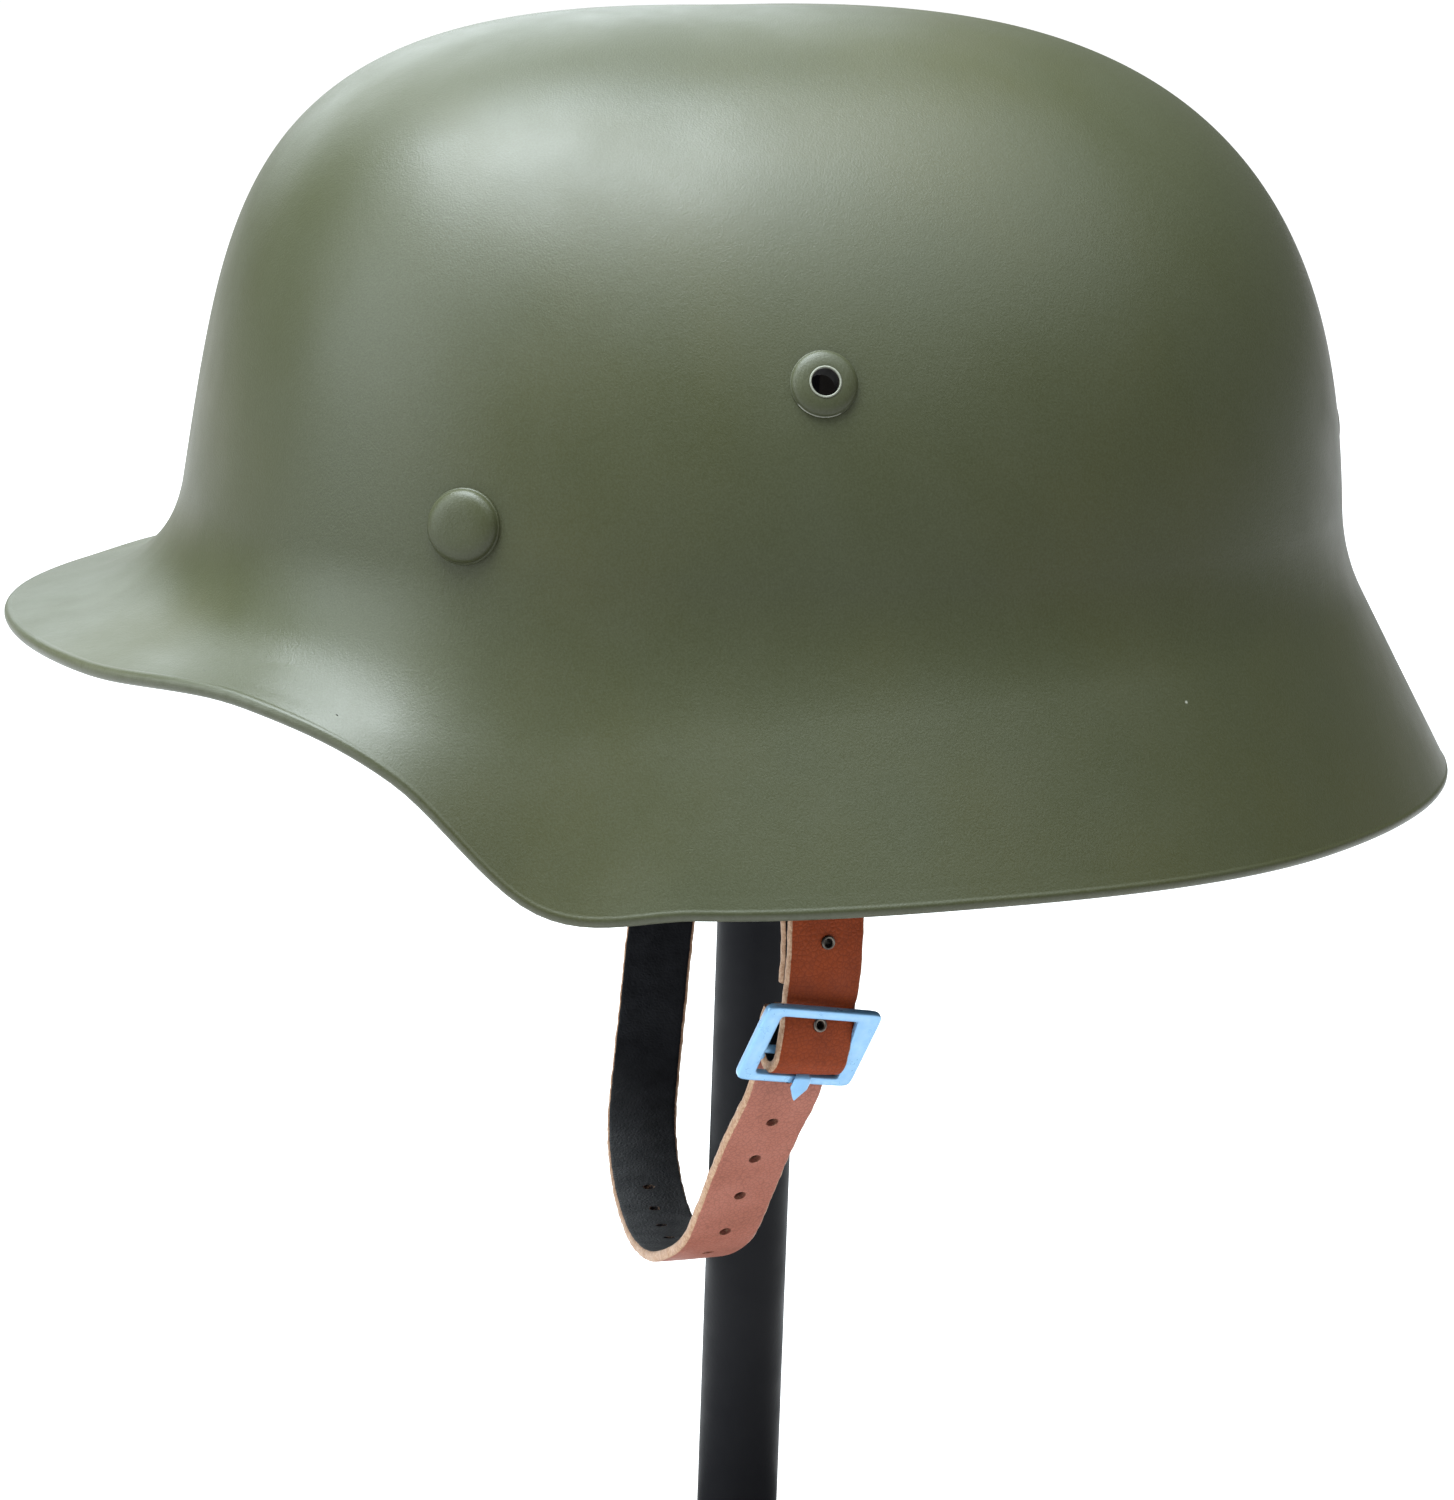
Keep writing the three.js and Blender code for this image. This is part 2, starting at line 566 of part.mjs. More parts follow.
// From the shell's own frame to the stand's: tip it about the pole's head and lift it there.
const helmet = new THREE.Group();
helmet.name = 'helmet';
helmet.rotation.x = pitch;
const head = new THREE.Vector3(0, poleUnderCrown.y, poleUnderCrown.z).applyAxisAngle(new THREE.Vector3(1, 0, 0), pitch);
helmet.position.set(0, -head.y, poleHead - head.z);
helmet.updateMatrix();
group.add(helmet);

function addPiece(parent, name, manifold, look) {
  const mesh = new THREE.Mesh(toGeometry(manifold), new THREE.MeshStandardMaterial(look));
  mesh.name = name;
  parent.add(mesh);
}

addPiece(helmet, 'helmet_shell', shell, paint);
for (const name of ['liner_rivet_left', 'liner_rivet_right', 'liner_rivet_rear']) {
  addPiece(helmet, name, rivetAt(places[name]), paint);
}
for (const name of ['vent_bushing_left', 'vent_bushing_right']) addPiece(helmet, name, ventAt(places[name]), paint);
addPiece(helmet, 'strap_short', strapShort, leatherFace);
addPiece(helmet, 'strap_long', strapLong, leatherFace);
addPiece(helmet, 'strap_eyelet_upper', eyeletAt(upperEyelet, 1.0, -5.2), darkMetal);
addPiece(helmet, 'strap_eyelet_lower', eyeletAt(lowerEyelet, 2.35, -0.2, lowerLean), darkMetal);
addPiece(helmet, 'strap_eyelet_far', eyeletAt(farEnd - upperEyelet, 1.6, -4.6), darkMetal);
addPiece(helmet, 'buckle_frame', buckleSolid(), bluedMetal);
addPiece(helmet, 'buckle_prong', prongSolid(), bluedMetal);
addPiece(helmet, 'strap_loop_left', bracketSolid(false), darkMetal);
addPiece(helmet, 'strap_loop_right', bracketSolid(true), darkMetal);

// Stand: a round foot, a pole and a small cap under the crown.
const foot = new THREE.LatheGeometry([
  new THREE.Vector2(0, 0), new THREE.Vector2(baseRadius - 0.6, 0), new THREE.Vector2(baseRadius, 0.6),
  new THREE.Vector2(baseRadius, baseThickness - 1.5), new THREE.Vector2(baseRadius - 1.5, baseThickness),
  new THREE.Vector2(0, baseThickness),
], 48);
foot.rotateX(Math.PI / 2);
addPiece(group, 'stand_base', toManifold(foot), standPaint);
const poleTop = poleHead - capDepth;
const poleLength = poleTop - baseThickness - 2 * gap;
const pole = new THREE.CylinderGeometry(poleRadius, poleRadius, poleLength, 32);
pole.rotateX(Math.PI / 2);
pole.translate(0, 0, baseThickness + gap + poleLength / 2);
addPiece(group, 'stand_pole', toManifold(pole), standPaint);
const cap = new THREE.CylinderGeometry(capRadius, capRadius, 30, 24);
cap.rotateX(Math.PI / 2);
cap.translate(0, 0, poleTop + 15);
const room = hollow.transform(helmet.matrix.elements);
addPiece(group, 'stand_cap', toManifold(cap).intersect(room), standPaint);

export default group;
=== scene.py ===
# %% [markdown]
# # A steel helmet on its stand
# The solids of the part are loaded first. They fix where everything sits and how big it is,
# so nothing here has to be fitted: the lesson only dresses each solid with a finer surface
# and a finish.

# %% Load the frame
import math
import bpy
import numpy as np
from mathutils import Matrix


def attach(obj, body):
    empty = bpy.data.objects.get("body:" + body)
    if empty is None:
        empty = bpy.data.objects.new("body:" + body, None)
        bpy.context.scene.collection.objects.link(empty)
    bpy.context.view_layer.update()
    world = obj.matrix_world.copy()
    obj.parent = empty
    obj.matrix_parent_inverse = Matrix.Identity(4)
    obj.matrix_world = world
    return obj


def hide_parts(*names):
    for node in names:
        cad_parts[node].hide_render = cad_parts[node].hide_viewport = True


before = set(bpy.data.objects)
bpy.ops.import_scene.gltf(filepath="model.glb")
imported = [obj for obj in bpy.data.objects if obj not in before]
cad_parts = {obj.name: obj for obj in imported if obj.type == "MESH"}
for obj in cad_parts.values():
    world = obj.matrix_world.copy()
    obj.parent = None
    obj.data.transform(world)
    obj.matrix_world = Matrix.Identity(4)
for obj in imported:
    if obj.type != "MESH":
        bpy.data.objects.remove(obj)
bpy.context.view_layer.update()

# %% [markdown]
# ## From the helmet's own frame to the stand's
# The helmet is easiest to draw upright, in millimetres, with the lowest run of its rim at zero.
# On the stand it hangs a little nose-down on the pole's head. One small function turns and
# lifts any array of points, so every piece of the helmet can be drawn in the upright frame.

# %% Seat points on the stand
NOSE_DOWN = math.radians(1.95)
UNDER_CROWN = np.array([0.0, 12.3, 140.0])
POLE_HEAD = 340.0
MM = 0.001


def turn_nose_down(vectors):
    """Turns vectors about the X axis: y and z mix by the sine and cosine of the nose-down angle."""
    c, s = math.cos(NOSE_DOWN), math.sin(NOSE_DOWN)
    x, y, z = np.moveaxis(np.asarray(vectors, float), -1, 0)
    return np.stack([x, c * y - s * z, s * y + c * z], -1)


def seat(points):
    """Points of the upright helmet, in mm, to the row frame in metres."""
    return (turn_nose_down(points - UNDER_CROWN) + [0, 0, POLE_HEAD]) * MM


print("crown in the row frame:", seat(np.array([0.0, 0.0, 149.2])))

# %% [markdown]
# ## The camera
# The photograph was taken from the helmet's left, a little from above. The angle, the distance
# and the focal length below were found by laying the shell's outline over the photograph.
# The camera is described in the upright frame and then turned with the helmet, which is why
# the pole leans a little in the picture.

# %% Camera
PICTURE_WIDTH, PICTURE_HEIGHT = 1454, 1500
FOCAL_PIXELS = 4788.5
SENSOR_WIDTH = 36.0
LOOK_AZIMUTH, LOOK_ELEVATION = math.radians(82.62), math.radians(13.33)
LOOK_DISTANCE = 950.8
LOOK_TARGET = np.array([0.0, 0.16, 2.85])


def unit(vectors):
    """Each vector divided by its own length."""
    return vectors / np.linalg.norm(vectors, axis=-1, keepdims=True)


back = np.array([
    math.sin(LOOK_AZIMUTH) * math.cos(LOOK_ELEVATION),
    -math.cos(LOOK_AZIMUTH) * math.cos(LOOK_ELEVATION),
    math.sin(LOOK_ELEVATION),
])
right = unit(np.cross(-back, [0, 0, 1]))
above = np.cross(right, -back)
camera_data = bpy.data.cameras.new("camera")
camera_data.sensor_width = SENSOR_WIDTH
camera_data.lens = FOCAL_PIXELS * SENSOR_WIDTH / max(PICTURE_WIDTH, PICTURE_HEIGHT)
camera_data.clip_end = 100
camera = bpy.data.objects.new("camera", camera_data)
bpy.context.scene.collection.objects.link(camera)
placed = np.eye(4)
placed[:3, :3] = turn_nose_down(np.stack([right, above, back])).T
placed[:3, 3] = seat(LOOK_TARGET + back * LOOK_DISTANCE)
camera.matrix_world = Matrix(placed.tolist())
bpy.context.scene.camera = camera
print("camera at", placed[:3, 3], "lens", camera_data.lens)

# %% [markdown]
# ## Meshes from arrays
# Every piece below is a grid of points. Faces are index arrays worked out from the grid, and
# foreach_set hands both to Blender in one go, which is far quicker than adding them one by one.
# A closed surface whose faces point outward holds a positive volume, so the volume's sign
# tells whether the faces have to be turned over.

# %% Mesh helpers
SHARP_ANGLE = math.radians(48)


def grid_quads(index):
    """Quads between neighbouring rows and columns of a grid of vertex numbers."""
    corners = [index[:-1, :-1], index[:-1, 1:], index[1:, 1:], index[1:, :-1]]
    return np.stack(corners, -1).reshape(-1, 4)


def closed(index):
    """The grid with its first column repeated at the end, so that it closes on itself."""
    return np.concatenate([index, index[:, :1]], axis=1)


def fan(centre, ring):
    """Triangles from one vertex to each edge of a ring of vertex numbers."""
    return np.stack([np.full(len(ring), centre), ring, np.roll(ring, -1)], -1)


def volume(points, faces):
    """Sum over a fan of each face: a sixth of corner dot (corner cross corner)."""
    total = 0.0
    for block in faces:
        for k in range(1, block.shape[1] - 1):
            a, b, c = points[block[:, 0]], points[block[:, k]], points[block[:, k + 1]]
            total += np.einsum("ij,ij->", a, np.cross(b, c)) / 6
    return total


def make_piece(name, points, faces, node, finish, marks=None, inner=None):
    """Puts arrays into a mesh, hides the CAD node it stands for and gives it the finish it takes.

    A second finish, the near-black painted shade of the inside, goes on the faces whose points carry the mark
    inside."""
    points = np.asarray(points, float).reshape(-1, 3)
    held = volume(points - points.mean(0), faces)
    if held < 0:
        faces = [block[:, ::-1] for block in faces]
    corners = np.concatenate([block.ravel() for block in faces])
    sizes = np.concatenate([np.full(len(block), block.shape[1]) for block in faces])
    mesh = bpy.data.meshes.new(name)
    mesh.vertices.add(len(points))
    mesh.vertices.foreach_set("co", points.ravel())
    mesh.loops.add(len(corners))
    mesh.loops.foreach_set("vertex_index", corners.astype(np.int32))
    mesh.polygons.add(len(sizes))
    mesh.polygons.foreach_set("loop_start", (np.cumsum(sizes) - sizes).astype(np.int32))
    for mark, values in (marks or {}).items():
        layer = mesh.attributes.new(mark, "FLOAT", "POINT")
        layer.data.foreach_set("value", np.asarray(values, np.float32).ravel())
    mesh.update(calc_edges=True)
    mesh.validate()
    mesh.shade_smooth()
    mesh.set_sharp_from_angle(angle=SHARP_ANGLE)
    mesh.materials.append(finish)
    if inner:
        mesh.materials.append(inner)
        share = np.add.reduceat(marks["inside"].ravel()[corners], np.cumsum(sizes) - sizes) / sizes
        mesh.polygons.foreach_set("material_index", (share > 0.5).astype(np.int32))
    piece = bpy.data.objects.new(name, mesh)
    bpy.context.scene.collection.objects.link(piece)
    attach(piece, "root")
    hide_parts(node)
    print(name, len(points), "points,", round(abs(held) * 1e9), "cubic mm")


# %% [markdown]
# ## Building a finish out of nodes
# A finish is a small graph: coordinates feed a pattern, the pattern feeds a colour ramp, and the
# ramp feeds the shader. These helpers only add nodes and link them, so that each finish below
# reads as a list of what can be seen on the real thing.

# %% Finish helpers
class Finish:
    """A material under construction, with its coordinates and its shader ready."""

    def __init__(self, name, **constants):
        self.material = bpy.data.materials.new(name)
        self.material.use_nodes = True
        self.nodes = self.material.node_tree.nodes
        self.links = self.material.node_tree.links
        self.shader = self.nodes["Principled BSDF"]
        self.place = self.nodes.new("ShaderNodeTexCoord").outputs["Object"]
        for socket, value in constants.items():
            self.shader.inputs[socket.replace("_", " ")].default_value = value

    def link(self, source, target):
        self.links.new(source, target)

    def stretched(self, x, y, z):
        """Object coordinates multiplied by a size for each axis."""
        mapping = self.nodes.new("ShaderNodeMapping")
        mapping.inputs["Scale"].default_value = (x, y, z)
        self.link(self.place, mapping.inputs["Vector"])
        return mapping.outputs["Vector"]

    def noise(self, scale, detail=3.0, rough=0.5, place=None):
        """Cloudy pattern; scale is in repeats to the metre."""
        node = self.nodes.new("ShaderNodeTexNoise")
        node.inputs["Scale"].default_value = scale
        node.inputs["Detail"].default_value = detail
        node.inputs["Roughness"].default_value = rough
        self.link(place or self.place, node.inputs["Vector"])
        return node.outputs["Fac"]

    def cells(self, scale, feature="F1"):
        """Cell pattern: distance to the nearest point of a jittered lattice, and a colour a cell."""
        node = self.nodes.new("ShaderNodeTexVoronoi")
        node.feature = feature
        node.inputs["Scale"].default_value = scale
        self.link(self.place, node.inputs["Vector"])
        return node.outputs["Distance"], node.outputs["Color"] if feature == "F1" else None

    def mark(self, name):
        """A value stored on the piece's own points."""
        node = self.nodes.new("ShaderNodeAttribute")
        node.attribute_name = name
        return node.outputs["Fac"]

    def ramp(self, source, stops):
        """Colours laid along a value: pairs of position and colour or grey level."""
        node = self.nodes.new("ShaderNodeValToRGB")
        elements = node.color_ramp.elements
        while len(elements) < len(stops):
            elements.new(0.5)
        for element, (position, colour) in zip(elements, stops):
            element.position = position
            element.color = (*colour, 1) if isinstance(colour, tuple) else (colour, colour, colour, 1)
        self.link(source, node.inputs["Fac"])
        return node.outputs["Color"]

    def sum(self, operation, a, b):
        """Arithmetic on two values; either may be a plain number."""
        node = self.nodes.new("ShaderNodeMath")
        node.operation = operation
        for socket, value in zip(node.inputs, (a, b)):
            if isinstance(value, (int, float)):
                socket.default_value = value
            else:
                self.link(value, socket)
        return node.outputs[0]

    def mix(self, share, a, b, how="MIX"):
        """Blends two colours by a share; a colour may be a plain triple."""
        node = self.nodes.new("ShaderNodeMix")
        node.data_type = "RGBA"
        node.blend_type = how
        if isinstance(share, (int, float)):
            node.inputs[0].default_value = share
        else:
            self.link(share, node.inputs[0])
        for socket, value in ((node.inputs[6], a), (node.inputs[7], b)):
            if isinstance(value, tuple):
                socket.default_value = (*value, 1)
            else:
                self.link(value, socket)
        return node.outputs[2]

    def bump(self, height, distance, strength=1.0, under=None):
        """Tilts the surface by a pattern whose full height is a distance in metres."""
        node = self.nodes.new("ShaderNodeBump")
        node.inputs["Strength"].default_value = strength
        node.inputs["Distance"].default_value = distance
        self.link(height, node.inputs["Height"])
        if under:
            self.link(under, node.inputs["Normal"])
        return node.outputs["Normal"]

    def wear(self, **sockets):
        """Links patterns to the shader's sockets and returns the material."""
        for socket, source in sockets.items():
            self.link(source, self.shader.inputs[socket.replace("_", " ")])
        return self.material


# %% [markdown]
# ## Olive paint
# The shell was sprayed with a satin olive paint that dried to a fine, slightly sandy skin. Seen
# closely it has soft clouds of warmer and greyer green, a few pale specks where it is chipped,
# and bare steel on worn edges. The sandiness is bump; the clouds and specks are colour. The inside
# of the shell is painted near-black as painted shade, so that the vents look into darkness.

# %% Paint
OLIVE, OLIVE_WARM, OLIVE_GREY = (0.028, 0.030, 0.0120), (0.032, 0.032, 0.0110), (0.029, 0.032, 0.0155)
PALE_CHIP, BARE_STEEL = (0.34, 0.34, 0.29), (0.36, 0.36, 0.31)
SANDY_GREEN = (0.042, 0.046, 0.025)


def olive_paint():
    """Clouds of green, a sandy bump, rare chips and bare steel where the wear mark says."""
    paint = Finish("olive_paint", Specular_IOR_Level=0.26)
    clouds = paint.ramp(paint.noise(14, 4), [(0.3, OLIVE_WARM), (0.5, OLIVE), (0.72, OLIVE_GREY)])
    sand = paint.noise(2600, 2, 0.6)
    fine = paint.noise(420, 3, 0.6)
    toned = paint.mix(paint.ramp(sand, [(0.36, 0.0), (0.68, 0.5)]), clouds, SANDY_GREEN)
    near, tint = paint.cells(62)
    rare = paint.ramp(tint, [(0.70, 0.0), (0.72, 1.0)])
    dot = paint.ramp(near, [(0.016, 1.0), (0.032, 0.0)])
    specks = paint.sum("MULTIPLY", rare, dot)
    chipped = paint.mix(specks, toned, PALE_CHIP)
    patchy = paint.sum("MULTIPLY", paint.mark("wear"), paint.ramp(fine, [(0.35, 0.55), (0.6, 1.0)]))
    colour = paint.mix(patchy, chipped, BARE_STEEL)
    rough = paint.ramp(paint.noise(60, 4), [(0.25, 0.36), (0.75, 0.47)])
    skin = paint.bump(sand, 0.00009, 0.5, paint.bump(fine, 0.00010, 0.3))
    return paint.wear(Base_Color=colour, Roughness=rough, Normal=skin)


def inside_painted_shade():
    """Near-black painted shade on the inside of the shell and of its fittings, with faint brown clouds."""
    painted_light = Finish("inside_painted_shade", Specular_IOR_Level=0.04)
    clouds = painted_light.noise(45, 4, 0.6)
    # Painted shade: the inside is coloured near-black, so the vents look into darkness.
    colour = painted_light.ramp(clouds, [(0.3, (0.006, 0.0055, 0.005)), (0.7, (0.014, 0.011, 0.009))])
    rough = painted_light.ramp(clouds, [(0.3, 0.75), (0.7, 0.9)])
    return painted_light.wear(Base_Color=colour, Roughness=rough, Normal=painted_light.bump(painted_light.noise(900, 3), 0.0001, 0.5))


PAINT, INSIDE_SHADE = olive_paint(), inside_painted_shade()
print("finishes:", PAINT.name, INSIDE_SHADE.name)

# %% [markdown]
# ## The pressed shell
# A helmet like this is pressed from one sheet of steel: a tall dome that turns through a soft
# crease into a flared skirt, which drops over the ears and rises to a visor. It is drawn as
# sections round the pole axis. Each section has a dome, a rounded corner and a straight skirt,
# and a short table says how the corner and the rim change from front to rear.

# %% Shell sections
CROWN_HEIGHT = 149.2
DOME_FRONT, DOME_REAR, DOME_HALF_WIDTH = 108.7, 120.5, 96.0
PLAN_POWER = 2.22
DOME_LAW = {
    "bulge": {"front": 5.1, "rear": 2.82, "side": 2.4},
    "roof": {"front": 2.95, "rear": 2.95, "side": 2.2},
    "taper": {"front": 0.17, "rear": 0.02, "side": 0.083},
}
SKIRT = np.array([
    (0, 42.0, 17.5, 141.0, 36.0),
    (22, 41.6, 17.8, 136.0, 35.0),
    (40, 41.5, 17.7, 127.2, 34.2),
    (54, 41.5, 17.0, 122.0, 22.5),
    (66, 41.7, 15.8, 118.8, 0.6),
    (80, 42.0, 14.3, 117.5, 0.1),
    (105, 43.0, 12.0, 120.6, 0.9),
    (140, 44.0, 10.0, 132.6, 0.0),
    (180, 44.4, 9.6, 144.2, -0.4),
], dtype=[(column, float) for column in ("azimuth", "crease", "blend", "reach", "rim")])


def skirt_column(column, azimuth):
    """One column of the table over azimuth: cubic pieces, level at the front and at the rear."""
    known, value = SKIRT["azimuth"], SKIRT[column]
    step, rise = np.diff(known), np.diff(value) / np.diff(known)
    slope = np.zeros(len(known))
    slope[1:-1] = (rise[:-1] * step[1:] + rise[1:] * step[:-1]) / (step[:-1] + step[1:])
    angle = np.abs((np.degrees(azimuth) + 180) % 360 - 180)
    i = np.clip(np.searchsorted(known, angle, side="right") - 1, 0, len(known) - 2)
    t = (angle - known[i]) / step[i]
    return ((2 * t**3 - 3 * t**2 + 1) * value[i] + (t**3 - 2 * t**2 + t) * step[i] * slope[i]
            + (3 * t**2 - 2 * t**3) * value[i + 1] + (t**3 - t**2) * step[i] * slope[i + 1])


def shell_point(azimuth, part):
    """Outer skin. Part 0 to 1 is the dome, 1 to 2 the rounded corner, 2 to 3 the straight skirt.

    The dome's radius is a sine and its height a power law of that sine; the corner is a
    parabola from the dome to the skirt; the skirt is a straight line to the rim."""
    azimuth, part = np.broadcast_arrays(np.asarray(azimuth, float), np.asarray(part, float))
    c, s = np.cos(azimuth), np.abs(np.sin(azimuth))
    half = np.where(c > 0, DOME_FRONT, DOME_REAR)
    base = ((s / DOME_HALF_WIDTH) ** PLAN_POWER + (np.abs(c) / half) ** PLAN_POWER) ** (-1 / PLAN_POWER)
    share = {"front": np.maximum(c, 0) ** 3, "rear": np.maximum(-c, 0) ** 3, "side": 1 - np.abs(c) ** 3}
    bulge, roof, taper = (sum(law[k] * share[k] for k in share) for law in DOME_LAW.values())
    crease, blend, reach, rim = (skirt_column(k, azimuth) for k in SKIRT.dtype.names[1:])
    high = CROWN_HEIGHT - crease
    lowest = (1 - (blend / high) ** bulge) ** (1 / roof)
    out = np.sin(np.clip(part, 0, 1) * np.arcsin(lowest))
    up = (1 - out**roof) ** (1 / bulge)
    dome = np.stack([base * (1 - taper * up) * out, crease + high * up])
    length = np.hypot(reach - base, rim - crease)
    corner = np.stack([base, crease])
    end = np.stack([reach, rim])
    foot = corner + (end - corner) * blend / length
    t = np.clip(part - 1, 0, 1)
    rounded = (1 - t) ** 2 * dome + 2 * t * (1 - t) * corner + t**2 * foot
    straight = foot + (end - foot) * np.clip(part - 2, 0, 1)
    r, z = np.where(part <= 1, dome, np.where(part <= 2, rounded, straight))
    return np.stack([r * np.sin(azimuth), -r * np.cos(azimuth), z], -1)


def shell_normal(azimuth, part):
    """Outward direction: the step down the section crossed with the step round it."""
    e = 1e-3
    round_step = shell_point(azimuth + e, part) - shell_point(azimuth - e, part)
    down_step = shell_point(azimuth, np.minimum(part + e, 3)) - shell_point(azimuth, np.maximum(part - e, 0))
    return unit(np.cross(down_step, round_step))


print("rim at the visor and at the rear:", shell_point(0.0, 3.0), shell_point(math.pi, 3.0))

# %% [markdown]
# ## Holes through a double skin
# A hole is cut by dropping the cells inside it from both skins, pulling the points left on its
# edge onto a true circle, and bridging the two skins with a short wall. The same routine serves
# the vents in the shell and the holes in the strap.

# %% Hole cutter
def pierce(points, outer, inner, centre, axis, radius, depth):
    """Returns which cells to drop and the wall's quads; points near the hole move onto its circle.

    A point's distance from the axis is the length of what is left of it after its part along
    the axis is taken away."""
    def radial(offset):
        return offset - (offset @ axis)[..., None] * axis

    middles = (points[outer[:-1, :-1]] + points[outer[1:, 1:]]) / 2 - centre
    drop = (np.linalg.norm(radial(middles), axis=-1) < radius) & (np.abs(middles @ axis) < depth)
    kept = ~drop
    walls = []
    a, b = drop[:, :-1] & kept[:, 1:], kept[:, :-1] & drop[:, 1:]
    for mask, flip in ((a, False), (b, True)):
        r, c = np.nonzero(mask)
        ends = [(r, c + 1), (r + 1, c + 1)]
        walls.append(ends[::-1] if flip else ends)
    a, b = kept[:-1] & drop[1:], drop[:-1] & kept[1:]
    for mask, flip in ((a, False), (b, True)):
        r, c = np.nonzero(mask)
        ends = [(r + 1, c), (r + 1, c + 1)]
        walls.append(ends[::-1] if flip else ends)
    quads = [np.stack([outer[p], outer[q], inner[q], inner[p]], -1) for p, q in walls]
    edge = np.unique(np.concatenate([q.ravel() for q in quads]))
    away = radial(points[edge] - centre)
    points[edge] += away * (radius / np.linalg.norm(away, axis=-1, keepdims=True) - 1)
    return drop, np.concatenate(quads)


# %% [markdown]
# ## Shell mesh
# Both skins use the same grid, one wall thickness apart. The rim is rolled: the edge is folded
# inward, so it ends in a rounded hem thicker than the wall, with a hair line where the fold stops.

# %% Shell mesh
GAP = 0.3
WALL, HEM_THICKNESS, HEM_DEPTH = 1.2, 2.8, 4.6
ROUND_STEPS, DOME_ROWS, CORNER_ROWS, SKIRT_ROWS, HEM_ROWS = 288, 92, 24, 14, 9
HEM_LINE_DEPTH, HEM_LINE_WIDTH, HEM_BEAD = 0.008, 0.5, 0.008
VENT_REACH, RIM_WEAR = 20, 0.06
VENT = {"azimuth": 94.2, "height": 89.6, "radius": 6.1, "rise": 1.9, "tube": 3.8, "bore": 2.5}
RIVET = {"azimuth": 54.8, "height": 64.6, "rear_height": 66.0, "radius": 6.9, "rise": 2.7}


def place_on_shell(azimuth_degrees, height):
    """Point and outward direction of the skin at an azimuth and a height, read off a fine section."""
    azimuth = math.radians(azimuth_degrees)
    part = np.linspace(0, 2, 4001)
    found = np.interp(-height, -shell_point(azimuth, part)[:, 2], part)
    return shell_point(azimuth, found), shell_normal(azimuth, found)


def shell_arrays():
    """Points, faces and marks of the shell (wear, and the inside that takes the painted shade): outer skin,
    rolled hem, inner skin.
    """
    azimuth = np.linspace(0, 2 * np.pi, ROUND_STEPS, endpoint=False)[None, :]
    crown_rows = np.linspace(0, 1, DOME_ROWS)[1:, None] + 0 * azimuth
    corner_rows = np.linspace(1, 2, CORNER_ROWS)[1:, None] + 0 * azimuth
    foot, end = shell_point(azimuth, 2.0), shell_point(azimuth, 3.0)
    length = np.linalg.norm(end - foot, axis=-1)
    hem_start = 1 - (HEM_DEPTH + 0.7) / length
    skirt_rows = 2 + np.linspace(0, 1, SKIRT_ROWS)[1:, None] * hem_start
    part = np.concatenate([crown_rows, corner_rows, skirt_rows])
    outer, normal = shell_point(azimuth, part), shell_normal(azimuth, part)
    inner = outer - WALL * normal
    down, out = unit(end - foot), shell_normal(azimuth, 2.9 + 0 * azimuth)
    half = HEM_THICKNESS / 2
    turn = np.linspace(0, np.pi, HEM_ROWS)
    drop_line = np.linspace(HEM_DEPTH + 0.5, half + 0.2, 10)
    line_in = HEM_LINE_DEPTH * np.exp(-(((drop_line - HEM_DEPTH + 0.4) / HEM_LINE_WIDTH) ** 2))
    bead = HEM_BEAD * np.clip((HEM_DEPTH - 0.6 - drop_line) / 2, 0, 1)
    up = np.concatenate([drop_line, half - half * np.sin(turn), [HEM_DEPTH]])
    across = np.concatenate([line_in - bead, half - half * np.cos(turn) - 0.1 * np.cos(turn / 2),
                             [HEM_THICKNESS]])
    hem = end - up[:, None, None] * down - across[:, None, None] * out
    rows = np.concatenate([outer, hem, inner[::-1]])
    points = np.concatenate([rows.reshape(-1, 3), [[0, 0, CROWN_HEIGHT], [0, 0, CROWN_HEIGHT - WALL]]])
    index = np.arange(rows.shape[0] * ROUND_STEPS).reshape(-1, ROUND_STEPS)
    count = len(part)
    outer_index, inner_index = closed(index[:count]), closed(index[::-1][:count])
    keep = np.ones((len(index) - 1, ROUND_STEPS), bool)
    walls = []
    for side in (1, -1):
        centre, axis = place_on_shell(side * VENT["azimuth"], VENT["height"])
        gone, wall = pierce(points, outer_index, inner_index, centre, axis, VENT["tube"] + GAP, VENT_REACH)
        keep[:count - 1] &= ~gone
        keep[::-1][:count - 1] &= ~gone
        walls.append(wall)
    quads = grid_quads(closed(index))[keep.ravel()]
    poles = [fan(len(points) - 2, index[0]), fan(len(points) - 1, index[-1])[:, ::-1]]
    wear = np.zeros(len(points))
    wear[index[count + 12:count + 17].ravel()] = RIM_WEAR
    # The inner skin carries the inside mark, which gives it the near-black painted shade.
    inside = np.zeros(len(points))
    inside[index[len(index) - count:].ravel()] = 1
    inside[-1] = 1
    return points, [np.concatenate([quads, *walls]), np.concatenate(poles)], {"wear": wear, "inside": inside}


shell_points, shell_faces, shell_marks = shell_arrays()
make_piece("helmet_shell_skin", seat(shell_points), shell_faces, "helmet_shell", PAINT,
           shell_marks, INSIDE_SHADE)

# %% [markdown]
# ## Turned fittings
# Rivets, vents and eyelets are all turned shapes: a profile of radius and height, carried round
# an axis that stands on the shell or on the strap. A profile that does not start and end on its
# axis is a ring, so its last row is joined to its first.

